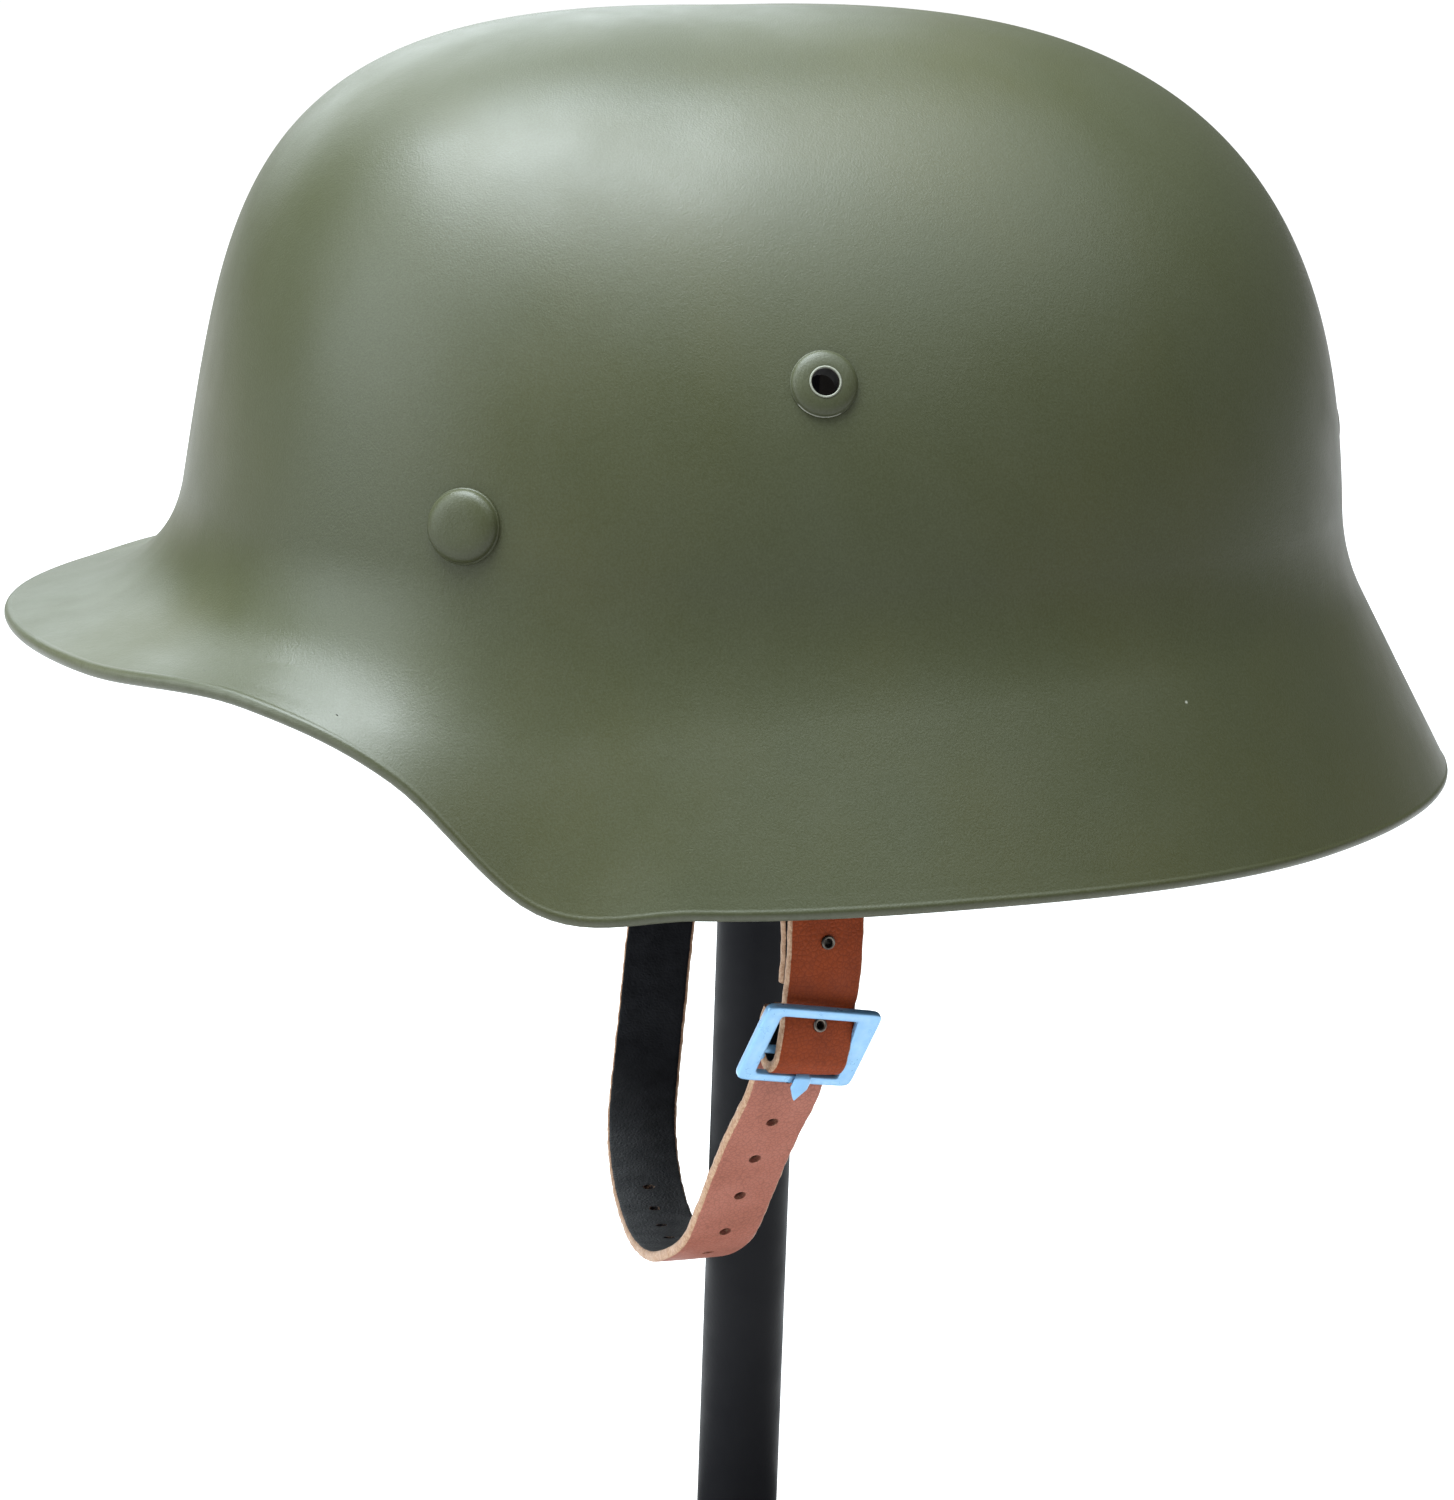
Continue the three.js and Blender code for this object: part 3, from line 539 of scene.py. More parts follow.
# %% Turned shape
def turned(profile, steps, centre, axis, ring=False):
    """Profile rows (radius, height) round an axis: centre + height * axis + radius * direction."""
    profile = np.asarray(profile, float)
    helper = np.array([0.0, 0.0, 1.0]) if abs(axis[2]) < 0.9 else np.array([0.0, 1.0, 0.0])
    first = unit(helper - (helper @ axis) * axis)
    second = np.cross(axis, first)
    angle = np.linspace(0, 2 * np.pi, steps, endpoint=False)
    round_way = np.cos(angle)[:, None] * first + np.sin(angle)[:, None] * second
    if ring:
        points = (centre + profile[:, 1, None, None] * axis + profile[:, 0, None, None] * round_way)
        index = closed(np.arange(len(profile) * steps).reshape(-1, steps))
        return points.reshape(-1, 3), [grid_quads(np.concatenate([index, index[:1]]))]
    inside = profile[1:-1]
    points = (centre + inside[:, 1, None, None] * axis + inside[:, 0, None, None] * round_way).reshape(-1, 3)
    index = np.arange(len(points)).reshape(-1, steps)
    ends = centre + profile[[0, -1], 1][:, None] * axis
    faces = [grid_quads(closed(index)), np.concatenate([
        fan(len(points), index[0]), fan(len(points) + 1, index[-1])[:, ::-1]])]
    return np.concatenate([points, ends]), faces


def crown_profile(radius, rise, inner, power=2.5, rows=14):
    """Rounded head from its edge to an inner radius: height is a power law of the radius."""
    t = np.linspace(0, 1, rows) ** 1.6
    r = radius + (inner - radius) * t
    share = (r - inner) / (radius - inner)
    return np.stack([r, rise * (1 - share**power) ** (1 / 2.2)], -1)


FITTING_STEPS = 64
print("a head of", len(crown_profile(RIVET["radius"], RIVET["rise"], 0)), "rows")

# %% [markdown]
# ## Liner rivets and vents
# Three rivets with low round heads hold the liner band, and a flanged bushing lines each of the
# two vent holes. They were painted with the shell, so they share its finish. The vent's lip has
# lost its paint, and so has a short arc under its lower edge.

# %% Rivets and vents
RIVET_TAIL = [(2.0, -0.9), (2.0, -3.2), (3.2, -3.2), (3.4, -3.4), (3.4, -4.8), (3.2, -5.0), (0.0, -5.0)]
LIP_RADIUS = 0.22
VENT_TAIL = [(3.8, -0.8), (3.8, -2.4), (5.2, -2.4), (5.2, -3.4), (5.0, -3.6), (2.5, -3.6)]


def liner_rivet(azimuth, height):
    """Round head on a shank, with the shank's spread tail inside the shell."""
    centre, axis = place_on_shell(azimuth, height)
    r = RIVET["radius"]
    head = crown_profile(r - 0.25, RIVET["rise"] - 0.5, 0.0, 3.6)[::-1] + [0, 0.35]
    edge = [(r - 0.07, 0.28), (r, 0.1), (r, -0.9)]
    return turned(np.concatenate([head, edge, RIVET_TAIL]), FITTING_STEPS, centre, axis)


def vent_bushing(azimuth):
    """Coned flange with a rolled lip round the bore, and a tube spread inside the shell."""
    centre, axis = place_on_shell(azimuth, VENT["height"])
    r, lip = VENT["radius"], VENT["bore"] + LIP_RADIUS
    cone = crown_profile(r - 0.15, VENT["rise"] - 0.4, lip + LIP_RADIUS, 1.7)[::-1] + [0, 0.2]
    roll = np.linspace(0, np.pi, 9)
    rolled = np.stack([lip - LIP_RADIUS * np.cos(roll), VENT["rise"] - LIP_RADIUS * (1 - np.sin(roll))], -1)
    bore = [(VENT["bore"], VENT["rise"] - 2 * LIP_RADIUS)]
    edge = [(r, 0.1), (r, -0.8)]
    profile = np.concatenate([bore, rolled, cone, edge, VENT_TAIL])
    points, faces = turned(profile, FITTING_STEPS, centre, axis, ring=True)
    wear = np.zeros((len(profile), FITTING_STEPS))
    wear[3:8] = 0.45
    low_side = np.clip(-np.cos(np.linspace(0, 2 * np.pi, FITTING_STEPS, endpoint=False) + 0.25), 0, 1)
    brim = 1 + len(rolled) + len(cone)
    wear[brim] = np.where(low_side > 0.8, 0.7, 0.0)
    # The bore and the tail carry the inside mark, which gives them the near-black painted shade.
    inside = np.zeros_like(wear)
    inside[0], inside[brim + 2:] = 1, 1
    return points, faces, {"wear": wear, "inside": inside}


for side, azimuth, height in (
    ("left", RIVET["azimuth"], RIVET["height"]),
    ("right", -RIVET["azimuth"], RIVET["height"]),
    ("rear", 180.0, RIVET["rear_height"]),
):
    rivet_points, rivet_faces = liner_rivet(azimuth, height)
    make_piece("rivet_head_" + side, seat(rivet_points), rivet_faces, "liner_rivet_" + side,
               PAINT, {"wear": np.zeros(len(rivet_points))})
for side, azimuth in (("left", VENT["azimuth"]), ("right", -VENT["azimuth"])):
    vent_points, vent_faces, vent_marks = vent_bushing(azimuth)
    make_piece("vent_ring_" + side, seat(vent_points), vent_faces, "vent_bushing_" + side,
               PAINT, vent_marks, INSIDE_SHADE)

# %% [markdown]
# ## How the strap hangs
# The chin strap hangs in a loop under the helmet. Its middle line is a smooth curve through a
# short table of stations on the near side and their mirror image on the far side. At each
# distance along it there are three directions: down the strap, out of its face, and across it.

# %% Strap line
STRAP_WIDTH, LEATHER = 14.6, 2.1
HANG = np.array([
    (91.0, 6.0, 24.0, 12),
    (95.0, 6.0, 0.0, 14),
    (95.5, 4.8, -22.0, 14),
    (88.0, 0.0, -39.0, 11),
    (80.0, -3.3, -50.5, 11),
    (73.5, -5.4, -59.5, 12),
    (66.7, -7.3, -69.0, 13),
    (59.5, -9.3, -78.0, 13),
    (42.0, -12.5, -87.3, 8),
    (22.0, -14.0, -92.3, 4),
    (0.0, -14.3, -94.2, 0),
], dtype=[(column, float) for column in ("side", "y", "z", "yaw")])


def smooth_line(knots, per_span):
    """Curve through knots: a cubic a span, whose end slopes weigh the chords by the root of their length."""
    ends = np.concatenate([[2 * knots[0] - knots[1]], knots, [2 * knots[-1] - knots[-2]]])
    p0, p1, p2, p3 = ends[:-3], ends[1:-2], ends[2:-1], ends[3:]
    chords = (p1 - p0, p2 - p1, p3 - p2)
    d0, d1, d2 = (np.linalg.norm(chord, axis=1, keepdims=True) ** 0.5 for chord in chords)
    start = ((p1 - p0) / d0 - (p2 - p0) / (d0 + d1) + (p2 - p1) / d1) * d1
    stop = ((p2 - p1) / d1 - (p3 - p1) / (d1 + d2) + (p3 - p2) / d2) * d1
    t = (np.arange(per_span) / per_span)[:, None, None]
    spans = (p1 + start * t + (-3 * p1 + 3 * p2 - 2 * start - stop) * t**2
             + (2 * p1 - 2 * p2 + start + stop) * t**3)
    return np.concatenate([np.swapaxes(spans, 0, 1).reshape(-1, knots.shape[1]), knots[-1:]])


def distances(line):
    """Length along a line of points, starting at zero."""
    return np.concatenate([[0], np.cumsum(np.linalg.norm(np.diff(line, axis=0), axis=1))])


near_side = np.stack([HANG["side"], HANG["y"], HANG["z"]], -1)
far_side = near_side[-2::-1] * [-1, 1, 1]
hang_line = smooth_line(np.concatenate([near_side, far_side]), 60)
hang_yaw = np.interp(np.arange(len(hang_line)) / 60, np.arange(2 * len(HANG) - 1),
                     np.radians(np.concatenate([HANG["yaw"], -HANG["yaw"][-2::-1]])))
hang_at = distances(hang_line)
HANG_LENGTH = hang_at[-1]


def strap_frame(along):
    """Place, down, out and across at distances along the hanging line, read off the fine curve."""
    held = np.clip(along, 0, HANG_LENGTH)
    def read(table):
        return np.stack([np.interp(held, hang_at, column) for column in table.T], -1)
    down = unit(read(np.gradient(hang_line, axis=0)))
    yaw = np.interp(held, hang_at, hang_yaw)
    across = np.stack([np.sin(yaw), -np.cos(yaw), 0 * yaw], -1)
    across = unit(across - np.sum(across * down, -1, keepdims=True) * down)
    place = read(hang_line) + (along - held)[..., None] * down
    return place, down, np.cross(across, down), across


def strap_point(along, out, side):
    """Point at a distance along the strap, a height out of its face and a shift across it."""
    along, out, side = np.broadcast_arrays(along, out, side)
    place, _, outward, across = strap_frame(np.asarray(along, float))
    return place + out[..., None] * outward + side[..., None] * across


print("the strap hangs along", round(HANG_LENGTH), "mm")

# %% [markdown]
# ## Leather
# The strap is leather: a finely creased grain face, a blackened flesh side, and raw cut edges
# that show pale tan fibres. The short length is a deep red-brown, darkened further as painted shade
# of the helmet's shadow, and the long one a paler pink-brown, lightened as a painted sheen of the
# bright floor below, so one recipe is given two sets of browns. Marks stored on the strap's points
# say which side is which, so the colours follow the cut exactly, and noise breaks up where they meet.

# %% Leather finish
# Painted light in the browns: the short set is darkened as painted shade, and the long set is paler and
# pinker as a painted sheen.
SHORT_BROWNS_AND_SHADE = ((0.145, 0.023, 0.0045), (0.180, 0.029, 0.0055), (0.22, 0.037, 0.007))
LONG_BROWNS_AND_SHEEN = ((0.25, 0.090, 0.062), (0.285, 0.105, 0.075), (0.32, 0.125, 0.092))
RAW_TAN, RAW_PALE, FLESH_BLACK = (0.22, 0.11, 0.06), (0.44, 0.29, 0.19), (0.006, 0.006, 0.007)


def strap_leather(name, browns):
    """Creased brown grain, raw tan edges with fibres, and a black flesh side."""
    hide = Finish(name, Specular_IOR_Level=0.11)
    tone = hide.ramp(hide.noise(85, 5, 0.6), list(zip((0.28, 0.47, 0.72), browns)))
    crease, _ = hide.cells(1150, "DISTANCE_TO_EDGE")
    lines = hide.ramp(crease, [(0.0, 0.55), (0.12, 1.0)])
    grain = hide.mix(0.6, tone, lines, "MULTIPLY")
    fibres = hide.noise(1500, 4, 0.7)
    raw = hide.ramp(fibres, [(0.3, RAW_TAN), (0.7, RAW_PALE)])
    flesh = hide.ramp(hide.noise(300, 4, 0.6), [(0.3, FLESH_BLACK), (0.8, (0.014, 0.014, 0.016))])
    stray = hide.sum("MULTIPLY", hide.sum("SUBTRACT", fibres, 0.5), 0.7)
    ragged = hide.sum("ADD", hide.mark("raw_edge"), stray)
    edge_share = hide.ramp(ragged, [(0.42, 0.0), (0.6, 1.0)])
    two_faced = hide.mix(hide.ramp(hide.mark("flesh_side"), [(0.4, 0.0), (0.6, 1.0)]), grain, flesh)
    colour = hide.mix(edge_share, two_faced, raw)
    rough = hide.ramp(hide.noise(240, 3), [(0.3, 0.40), (0.75, 0.58)])
    pores = hide.bump(crease, 0.00016, 0.7, hide.bump(fibres, 0.0002, 0.35))
    return hide.wear(Base_Color=colour, Roughness=rough, Normal=pores)


SHORT_HIDE_AND_SHADE = strap_leather("short_strap_leather_painted_shade", SHORT_BROWNS_AND_SHADE)
LONG_HIDE_AND_SHEEN = strap_leather("long_strap_leather_painted_sheen", LONG_BROWNS_AND_SHEEN)
print("finishes:", SHORT_HIDE_AND_SHADE.name, LONG_HIDE_AND_SHEEN.name)

# %% [markdown]
# ## Two lengths of leather
# The short strap is folded round the loop inside the shell and again round the buckle's bar. The
# long strap runs from behind the buckle, under the chin and up to the loop on the far side. Each
# is a rounded-off rectangle carried along a line drawn in two values: along and out of the strap.

# %% Strap ribbons
LOOP_BAR = {"along": 2.5, "depth": -2.0, "radius": 1.1}
BUCKLE_AT, BAR_ALONG, BAR_DEPTH, BAR_RADIUS, PRONG_WIRE, PRONG_CLEAR = 54.2, 2.9, 0.2, 0.8, 0.8, 0.2
FOLD = LOOP_BAR["radius"] + GAP + LEATHER / 2
LAYER = LEATHER + GAP + 0.05
FRONT = -0.75
WRAP = BAR_RADIUS + PRONG_WIRE + 2 * PRONG_CLEAR + LEATHER / 2
STATION, FACE_COLUMNS, EDGE_COLUMNS, EDGE_ROUND = 0.52, 28, 5, 0.55
FRAY, CROWNED, HOLE_TAN = 0.08, 0.12, 0.42


def run(start, stop, count):
    """Evenly spaced points from one (along, out) pair to another."""
    return np.linspace(start, stop, count)


def bend(centre, radius, start, stop, count):
    """Points of an arc about an (along, out) centre."""
    t = np.linspace(start, stop, count)
    return np.stack([centre[0] + radius * np.cos(t), centre[1] + radius * np.sin(t)], -1)


def ribbon(knots):
    """Rounded rectangle carried along a smooth line; returns points, their grid and the marks.

    A station's ring is: face from one edge to the other, rounded edge, back face, rounded edge.
    The edges are moved a little in and out by a sum of sines, as cut leather frays."""
    fine = smooth_line(np.asarray(knots, float), 24)
    at = distances(fine)
    rows = int(at[-1] / STATION)
    s = np.linspace(0, at[-1], rows)
    line = np.stack([np.interp(s, at, column) for column in fine.T], -1)
    step = unit(np.gradient(line, axis=0))
    away = np.stack([-step[:, 1], step[:, 0]], -1)
    half, flat = LEATHER / 2, STRAP_WIDTH / 2 - EDGE_ROUND
    face = np.linspace(flat, -flat, FACE_COLUMNS)
    turn = np.linspace(np.pi / 2, -np.pi / 2, EDGE_COLUMNS + 2)[1:-1]
    side = np.concatenate([face, -flat - EDGE_ROUND * np.cos(turn), -face, flat + EDGE_ROUND * np.cos(turn)])
    lift = np.concatenate([np.full(FACE_COLUMNS, half), half * np.sin(turn),
                           np.full(FACE_COLUMNS, -half), -half * np.sin(turn)])
    edge = np.zeros(len(side))
    edge[FACE_COLUMNS:FACE_COLUMNS + EDGE_COLUMNS] = 1
    edge[2 * FACE_COLUMNS + EDGE_COLUMNS:] = 1
    ripple = np.sin(s * 0.9) * np.sin(s * 0.31 + 1) + 0.5 * np.sin(s * 2.1 + 2) * np.sin(s * 0.53)
    fray = FRAY * ripple[:, None] * edge * np.sign(side)
    crown = CROWNED * np.cos(np.pi * side / STRAP_WIDTH) * np.sign(lift) * (1 - edge)
    height = lift + crown
    along = line[:, :1] + away[:, :1] * height
    out = line[:, 1:] + away[:, 1:] * height
    points = strap_point(along, out, side + fray)
    index = np.arange(points.shape[0] * points.shape[1]).reshape(points.shape[:2])
    flesh = np.broadcast_to((lift < 0) & (edge == 0), index.shape).astype(float)
    raw = np.broadcast_to(edge, index.shape).copy()
    raw[:2], raw[-2:] = 1, 1
    return points.reshape(-1, 3), index, {"raw_edge": raw, "flesh_side": flesh}


def through_strap(along, lean=0.0):
    """Centre and direction of a hole through the strap, leaned up the strap by an angle."""
    place, down, outward, _ = strap_frame(np.asarray(along, float))
    return place, outward * math.cos(lean) - down * math.sin(lean)


def strap_piece(name, node, knots, holes, hide):
    """A ribbon with its holes cut through both faces and its two ends closed."""
    points, index, marks = ribbon(knots)
    front = index[:, :FACE_COLUMNS]
    rear = index[:, FACE_COLUMNS + EDGE_COLUMNS:2 * FACE_COLUMNS + EDGE_COLUMNS][:, ::-1]
    keep = np.ones(index[:-1].shape, bool)
    walls = []
    for along, radius, lean, depth in holes:
        centre, axis = through_strap(along, lean)
        gone, wall = pierce(points, front, rear, centre, axis, radius, depth)
        keep[:, :FACE_COLUMNS - 1] &= ~gone
        first = FACE_COLUMNS + EDGE_COLUMNS
        keep[:, first:first + FACE_COLUMNS - 1] &= ~gone[:, ::-1]
        marks["raw_edge"].ravel()[wall.ravel()] = HOLE_TAN
        walls.append(wall)
    quads = grid_quads(closed(index))[keep.ravel()]
    ends = np.stack([index[0][::-1], index[-1]])
    faces = [np.concatenate([quads, *walls]), ends]
    make_piece(name, seat(points), faces, node, hide, marks)


HOLE_RADIUS, HOLE_PITCH, HOLE_COUNT = 1.2, 11.6, 12
EYELET = {"head": 1.3, "tube": 1.0, "bore": 0.75, "lip": 0.25}
UPPER_EYELET, LOWER_EYELET, LOWER_LEAN = 34.6, BUCKLE_AT - 3.3, 0.6
bar = np.array([BUCKLE_AT + BAR_ALONG, BAR_DEPTH])
loop = np.array([LOOP_BAR["along"], LOOP_BAR["depth"]])
far_loop = np.array([HANG_LENGTH - LOOP_BAR["along"], LOOP_BAR["depth"]])
short_line = np.concatenate([
    run((BUCKLE_AT - 11, FRONT - LAYER), (6, loop[1] - FOLD), 9),
    bend(loop, FOLD, 1.5 * np.pi, 0.5 * np.pi, 9),
    run((6, loop[1] + FOLD), (BUCKLE_AT - 12, FRONT), 9),
    [(BUCKLE_AT - 9, FRONT), (BUCKLE_AT - 6.6, FRONT + 0.15), (BUCKLE_AT - 4.4, 0.55)],
    bend(bar, WRAP, 0.68 * np.pi, -0.62 * np.pi, 12),
    [(bar[0] - 4.4, FRONT - LAYER - 0.5), (bar[0] - 8.0, FRONT - LAYER - 0.1)],
])
long_line = np.concatenate([
    [(BUCKLE_AT - 2, -6.4), (BUCKLE_AT + 1.4, -6.0), (BUCKLE_AT + 4.5, -4.8), (BUCKLE_AT + 7.5, -2.9),
     (BUCKLE_AT + 10.5, -1.2), (BUCKLE_AT + 14, -0.3)],
    run((BUCKLE_AT + 19, 0), (HANG_LENGTH - 45, 0), 34),
    run((HANG_LENGTH - 40, 0), (HANG_LENGTH - 6, loop[1] + FOLD), 8),
    bend(far_loop, FOLD, 0.5 * np.pi, -0.5 * np.pi, 9),
    run((HANG_LENGTH - 6, loop[1] - FOLD), (HANG_LENGTH - 44, -LAYER), 8),
])
tube_hole = EYELET["tube"] + GAP
strap_piece("strap_short_leather", "strap_short", short_line,
            [(UPPER_EYELET, tube_hole, 0.0, 8.0), (LOWER_EYELET, tube_hole, LOWER_LEAN, 3.0)], SHORT_HIDE_AND_SHADE)
long_holes = [(BUCKLE_AT + 10.2 + k * HOLE_PITCH, HOLE_RADIUS, 0.0, 4.0) for k in range(HOLE_COUNT)]
strap_piece("strap_long_leather", "strap_long", long_line,
            long_holes + [(HANG_LENGTH - UPPER_EYELET, tube_hole, 0.0, 8.0)], LONG_HIDE_AND_SHEEN)

# %% [markdown]
# ## Dull steel
# The eyelets in the leather and the loops inside the shell are plain steel that has gone dull and
# dark. A cloudy roughness keeps the glints uneven, and faint brown stains sit in the clouds.

# %% Steel finish
def dull_steel(name, light, dark):
    """Metal with clouded colour and roughness and a fine pitted bump."""
    steel = Finish(name, Metallic=0.85)
    clouds = steel.noise(320, 4, 0.6)
    colour = steel.ramp(clouds, [(0.3, dark), (0.55, light), (0.8, (0.20, 0.13, 0.08))])
    rough = steel.ramp(steel.noise(700, 3), [(0.3, 0.3), (0.75, 0.5)])
    return steel.wear(Base_Color=colour, Roughness=rough, Normal=steel.bump(clouds, 0.0001, 0.4))


EYELET_STEEL = dull_steel("eyelet_steel", (0.14, 0.12, 0.10), (0.035, 0.03, 0.026))
LOOP_STEEL = dull_steel("loop_steel", (0.16, 0.15, 0.14), (0.07, 0.065, 0.06))


def eyelet(name, node, along, outer, inner, lean=0.0):
    """Small hollow rivet: a tube between two rolled heads."""
    centre, axis = through_strap(along, lean)
    head, tube, bore, lip = (EYELET[k] for k in ("head", "tube", "bore", "lip"))
    roll = np.linspace(0, np.pi, 7)
    middle, half = (head + bore) / 2, (head - bore) / 2
    top = np.stack([middle + half * np.cos(roll), outer + lip * np.sin(roll)], -1)
    foot = np.stack([middle - half * np.cos(roll), inner - lip * np.sin(roll)], -1)
    profile = np.concatenate([top, foot, [(tube, inner), (tube, outer)]])
    points, faces = turned(profile, 32, centre, axis, ring=True)
    make_piece(name, seat(points), faces, node, EYELET_STEEL)


eyelet("eyelet_upper_ring", "strap_eyelet_upper", UPPER_EYELET, 1.0, -5.2)
eyelet("eyelet_lower_ring", "strap_eyelet_lower", LOWER_EYELET, 2.35, -0.2, LOWER_LEAN)
eyelet("eyelet_far_ring", "strap_eyelet_far", HANG_LENGTH - UPPER_EYELET, 1.6, -4.6)
for loop_node in ("strap_loop_left", "strap_loop_right"):
    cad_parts[loop_node].data.materials.clear()
    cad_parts[loop_node].data.materials.append(LOOP_STEEL)

# %% [markdown]
# ## Pale metal with a painted blue reflection
# The buckle is stamped pale metal whose blue is a painted reflection of a blue sky, and it shines
# softly. Along the crest of the frame's outer face it is paler still, as a painted highlight.

# %% Buckle finish
def metal_painted_blue_reflection():
    """Pale metal with a painted blue reflection and faint clouds, paler as a painted highlight where the wear
    mark says, over a slightly wavy bump.
    """
    painted_light = Finish("metal_painted_blue_reflection", Metallic=0.35, Coat_Weight=0.25, Coat_Roughness=0.2)
    # Painted reflection: the blue of the base colour stands in for a blue sky reflected in the metal.
    clouds = painted_light.ramp(painted_light.noise(260, 4, 0.6), [(0.3, (0.15, 0.32, 0.53)), (0.7, (0.18, 0.37, 0.58))])
    patches = painted_light.noise(500, 3)
    # Painted highlight: paler where the wear mark lies on the frame's crest.
    crest_highlight_share = painted_light.sum("MULTIPLY", painted_light.mark("wear"), painted_light.ramp(patches, [(0.35, 0.1), (0.65, 0.35)]))
    colour = painted_light.mix(crest_highlight_share, clouds, (0.40, 0.56, 0.70))
    rough = painted_light.ramp(patches, [(0.3, 0.26), (0.75, 0.42)])
    return painted_light.wear(Base_Color=colour, Roughness=rough, Normal=painted_light.bump(painted_light.noise(600, 2), 0.00008, 0.5))


BLUE_REFLECTION_METAL = metal_painted_blue_reflection()
print("finish:", BLUE_REFLECTION_METAL.name)

# %% [markdown]
# ## Buckle
# The buckle's frame is a flat ring with a wide bar at each side. Its outline and its window are
# both squared-off ovals, and the metal between them has a rounded section, so the frame is one
# surface of two angles. The window leans in at its right, so the frame hides the leather's edge.
# A hidden bar across the middle carries the prong and the leather.

# %% Buckle frame and bar
BUCKLE = {"top": -9.2, "low": 8.3, "right": -10.7, "left": 12.9, "thick": 1.7, "lift": 2.3}
WINDOW = {"top": -7.1, "low": 6.5, "right": -7.7, "left": 9.5}
WINDOW_SLANT = 1.6
BUCKLE_ROLL = math.radians(2.9)
buckle_place, strap_down, buckle_out, strap_across = strap_frame(np.array(BUCKLE_AT))
buckle_down = math.cos(BUCKLE_ROLL) * strap_down + math.sin(BUCKLE_ROLL) * strap_across
buckle_across = math.cos(BUCKLE_ROLL) * strap_across - math.sin(BUCKLE_ROLL) * strap_down


def on_buckle(along, out, side):
    """Rigid point of the buckle from its distance along, out of and across the strap."""
    along, out, side = np.broadcast_arrays(along, out, side)
    return (buckle_place + along[..., None] * buckle_down + out[..., None] * buckle_out
            + side[..., None] * buckle_across)


def squared(angle, power):
    """Cosine and sine of an angle, each raised to two over a power: an oval squared off."""
    c, s = np.cos(angle), np.sin(angle)
    return np.sign(c) * np.abs(c) ** (2 / power), np.sign(s) * np.abs(s) ** (2 / power)


def squared_box(box, angle, power):
    """Squared oval that fills a box of along (top to low) and side (right to left) limits."""
    c, s = squared(angle, power)
    along = (box["low"] + box["top"]) / 2 + (box["low"] - box["top"]) / 2 * c
    side = (box["left"] + box["right"]) / 2 + (box["left"] - box["right"]) / 2 * s
    return along, side


def tube_points(start, stop, radius, steps=20, rows=6):
    """Straight rod between two (along, out, side) points with rounded ends, as a closed grid."""
    start, stop = np.asarray(start, float), np.asarray(stop, float)
    way = unit(stop - start)
    helper = np.array([1.0, 0.0, 0.0]) if abs(way[0]) < 0.9 else np.array([0.0, 1.0, 0.0])
    first = unit(helper - (helper @ way) * way)
    second = np.cross(way, first)
    turn = np.linspace(0, 2 * np.pi, steps, endpoint=False)
    ring = np.cos(turn)[:, None] * first + np.sin(turn)[:, None] * second
    cap = np.linspace(0.02, np.pi / 2, rows)
    size = np.concatenate([np.sin(cap), np.sin(cap)[::-1]])[:, None, None] * radius
    shift = np.concatenate([-np.cos(cap), np.cos(cap)[::-1]])[:, None, None] * radius * 0.5 * way
    base = np.concatenate([np.tile(start, (rows, 1)), np.tile(stop, (rows, 1))])[:, None, :]
    return base + shift + size * ring


def fan_end(ring):
    """Triangles that close a small ring from its own first vertex."""
    return np.stack([np.full(len(ring) - 2, ring[0]), ring[1:-1], ring[2:]], -1)


def join(parts):
    """Several closed grids as one list of points and faces; each end is closed with one face."""
    points, faces, ends, first = [], [], [], 0
    for grid, capped in parts:
        index = first + np.arange(grid.shape[0] * grid.shape[1]).reshape(grid.shape[:2])
        quads = closed(index) if capped else closed(np.concatenate([index, index[:1]]))
        faces.append(grid_quads(quads))
        if capped:
            ends.append(fan_end(index[0][::-1]))
            ends.append(fan_end(index[-1]))
        points.append(grid.reshape(-1, 3))
        first += grid.shape[0] * grid.shape[1]
    return np.concatenate(points), [np.concatenate(faces)] + ([np.concatenate(ends)] if ends else [])


def outward_grid(grid):
    """The grid with its columns reversed if its faces would point inward."""
    index = np.arange(grid.shape[0] * grid.shape[1]).reshape(grid.shape[:2])
    flat = grid.reshape(-1, 3)
    if volume(flat - flat.mean(0), [grid_quads(closed(np.concatenate([index, index[:1]])))]) < 0:
        return grid[:, ::-1]
    return grid


def buckle_ring():
    """Window and outline run together by one angle; a rounded section spans from one to the other."""
    turn = np.linspace(0, 2 * np.pi, 144, endpoint=False)[:, None]
    section = np.linspace(0, 2 * np.pi, 28, endpoint=False)[None, :]
    even = turn - 0.16 * np.sin(4 * turn)
    outline = squared_box(BUCKLE, even, 15)
    window = squared_box(WINDOW, even, 22)
    above = (WINDOW["low"] - window[0]) / (WINDOW["low"] - WINDOW["top"])
    window = (window[0], window[1] + WINDOW_SLANT * above * (window[1] < 0))
    share, height = squared(section, 4.6)
    share = (share + 1) / 2
    along = window[0] + (outline[0] - window[0]) * share
    side = window[1] + (outline[1] - window[1]) * share
    out = BUCKLE["lift"] + BUCKLE["thick"] / 2 * height
    # Painted highlight: the wear mark is highest along the crest of the frame's outer face.
    crest_highlight = np.clip(height, 0, 1) * np.clip(1 - np.abs(share - 0.5) * 1.6, 0, 1)
    return on_buckle(along, out + 0 * along, side), np.broadcast_to(crest_highlight, along.shape)


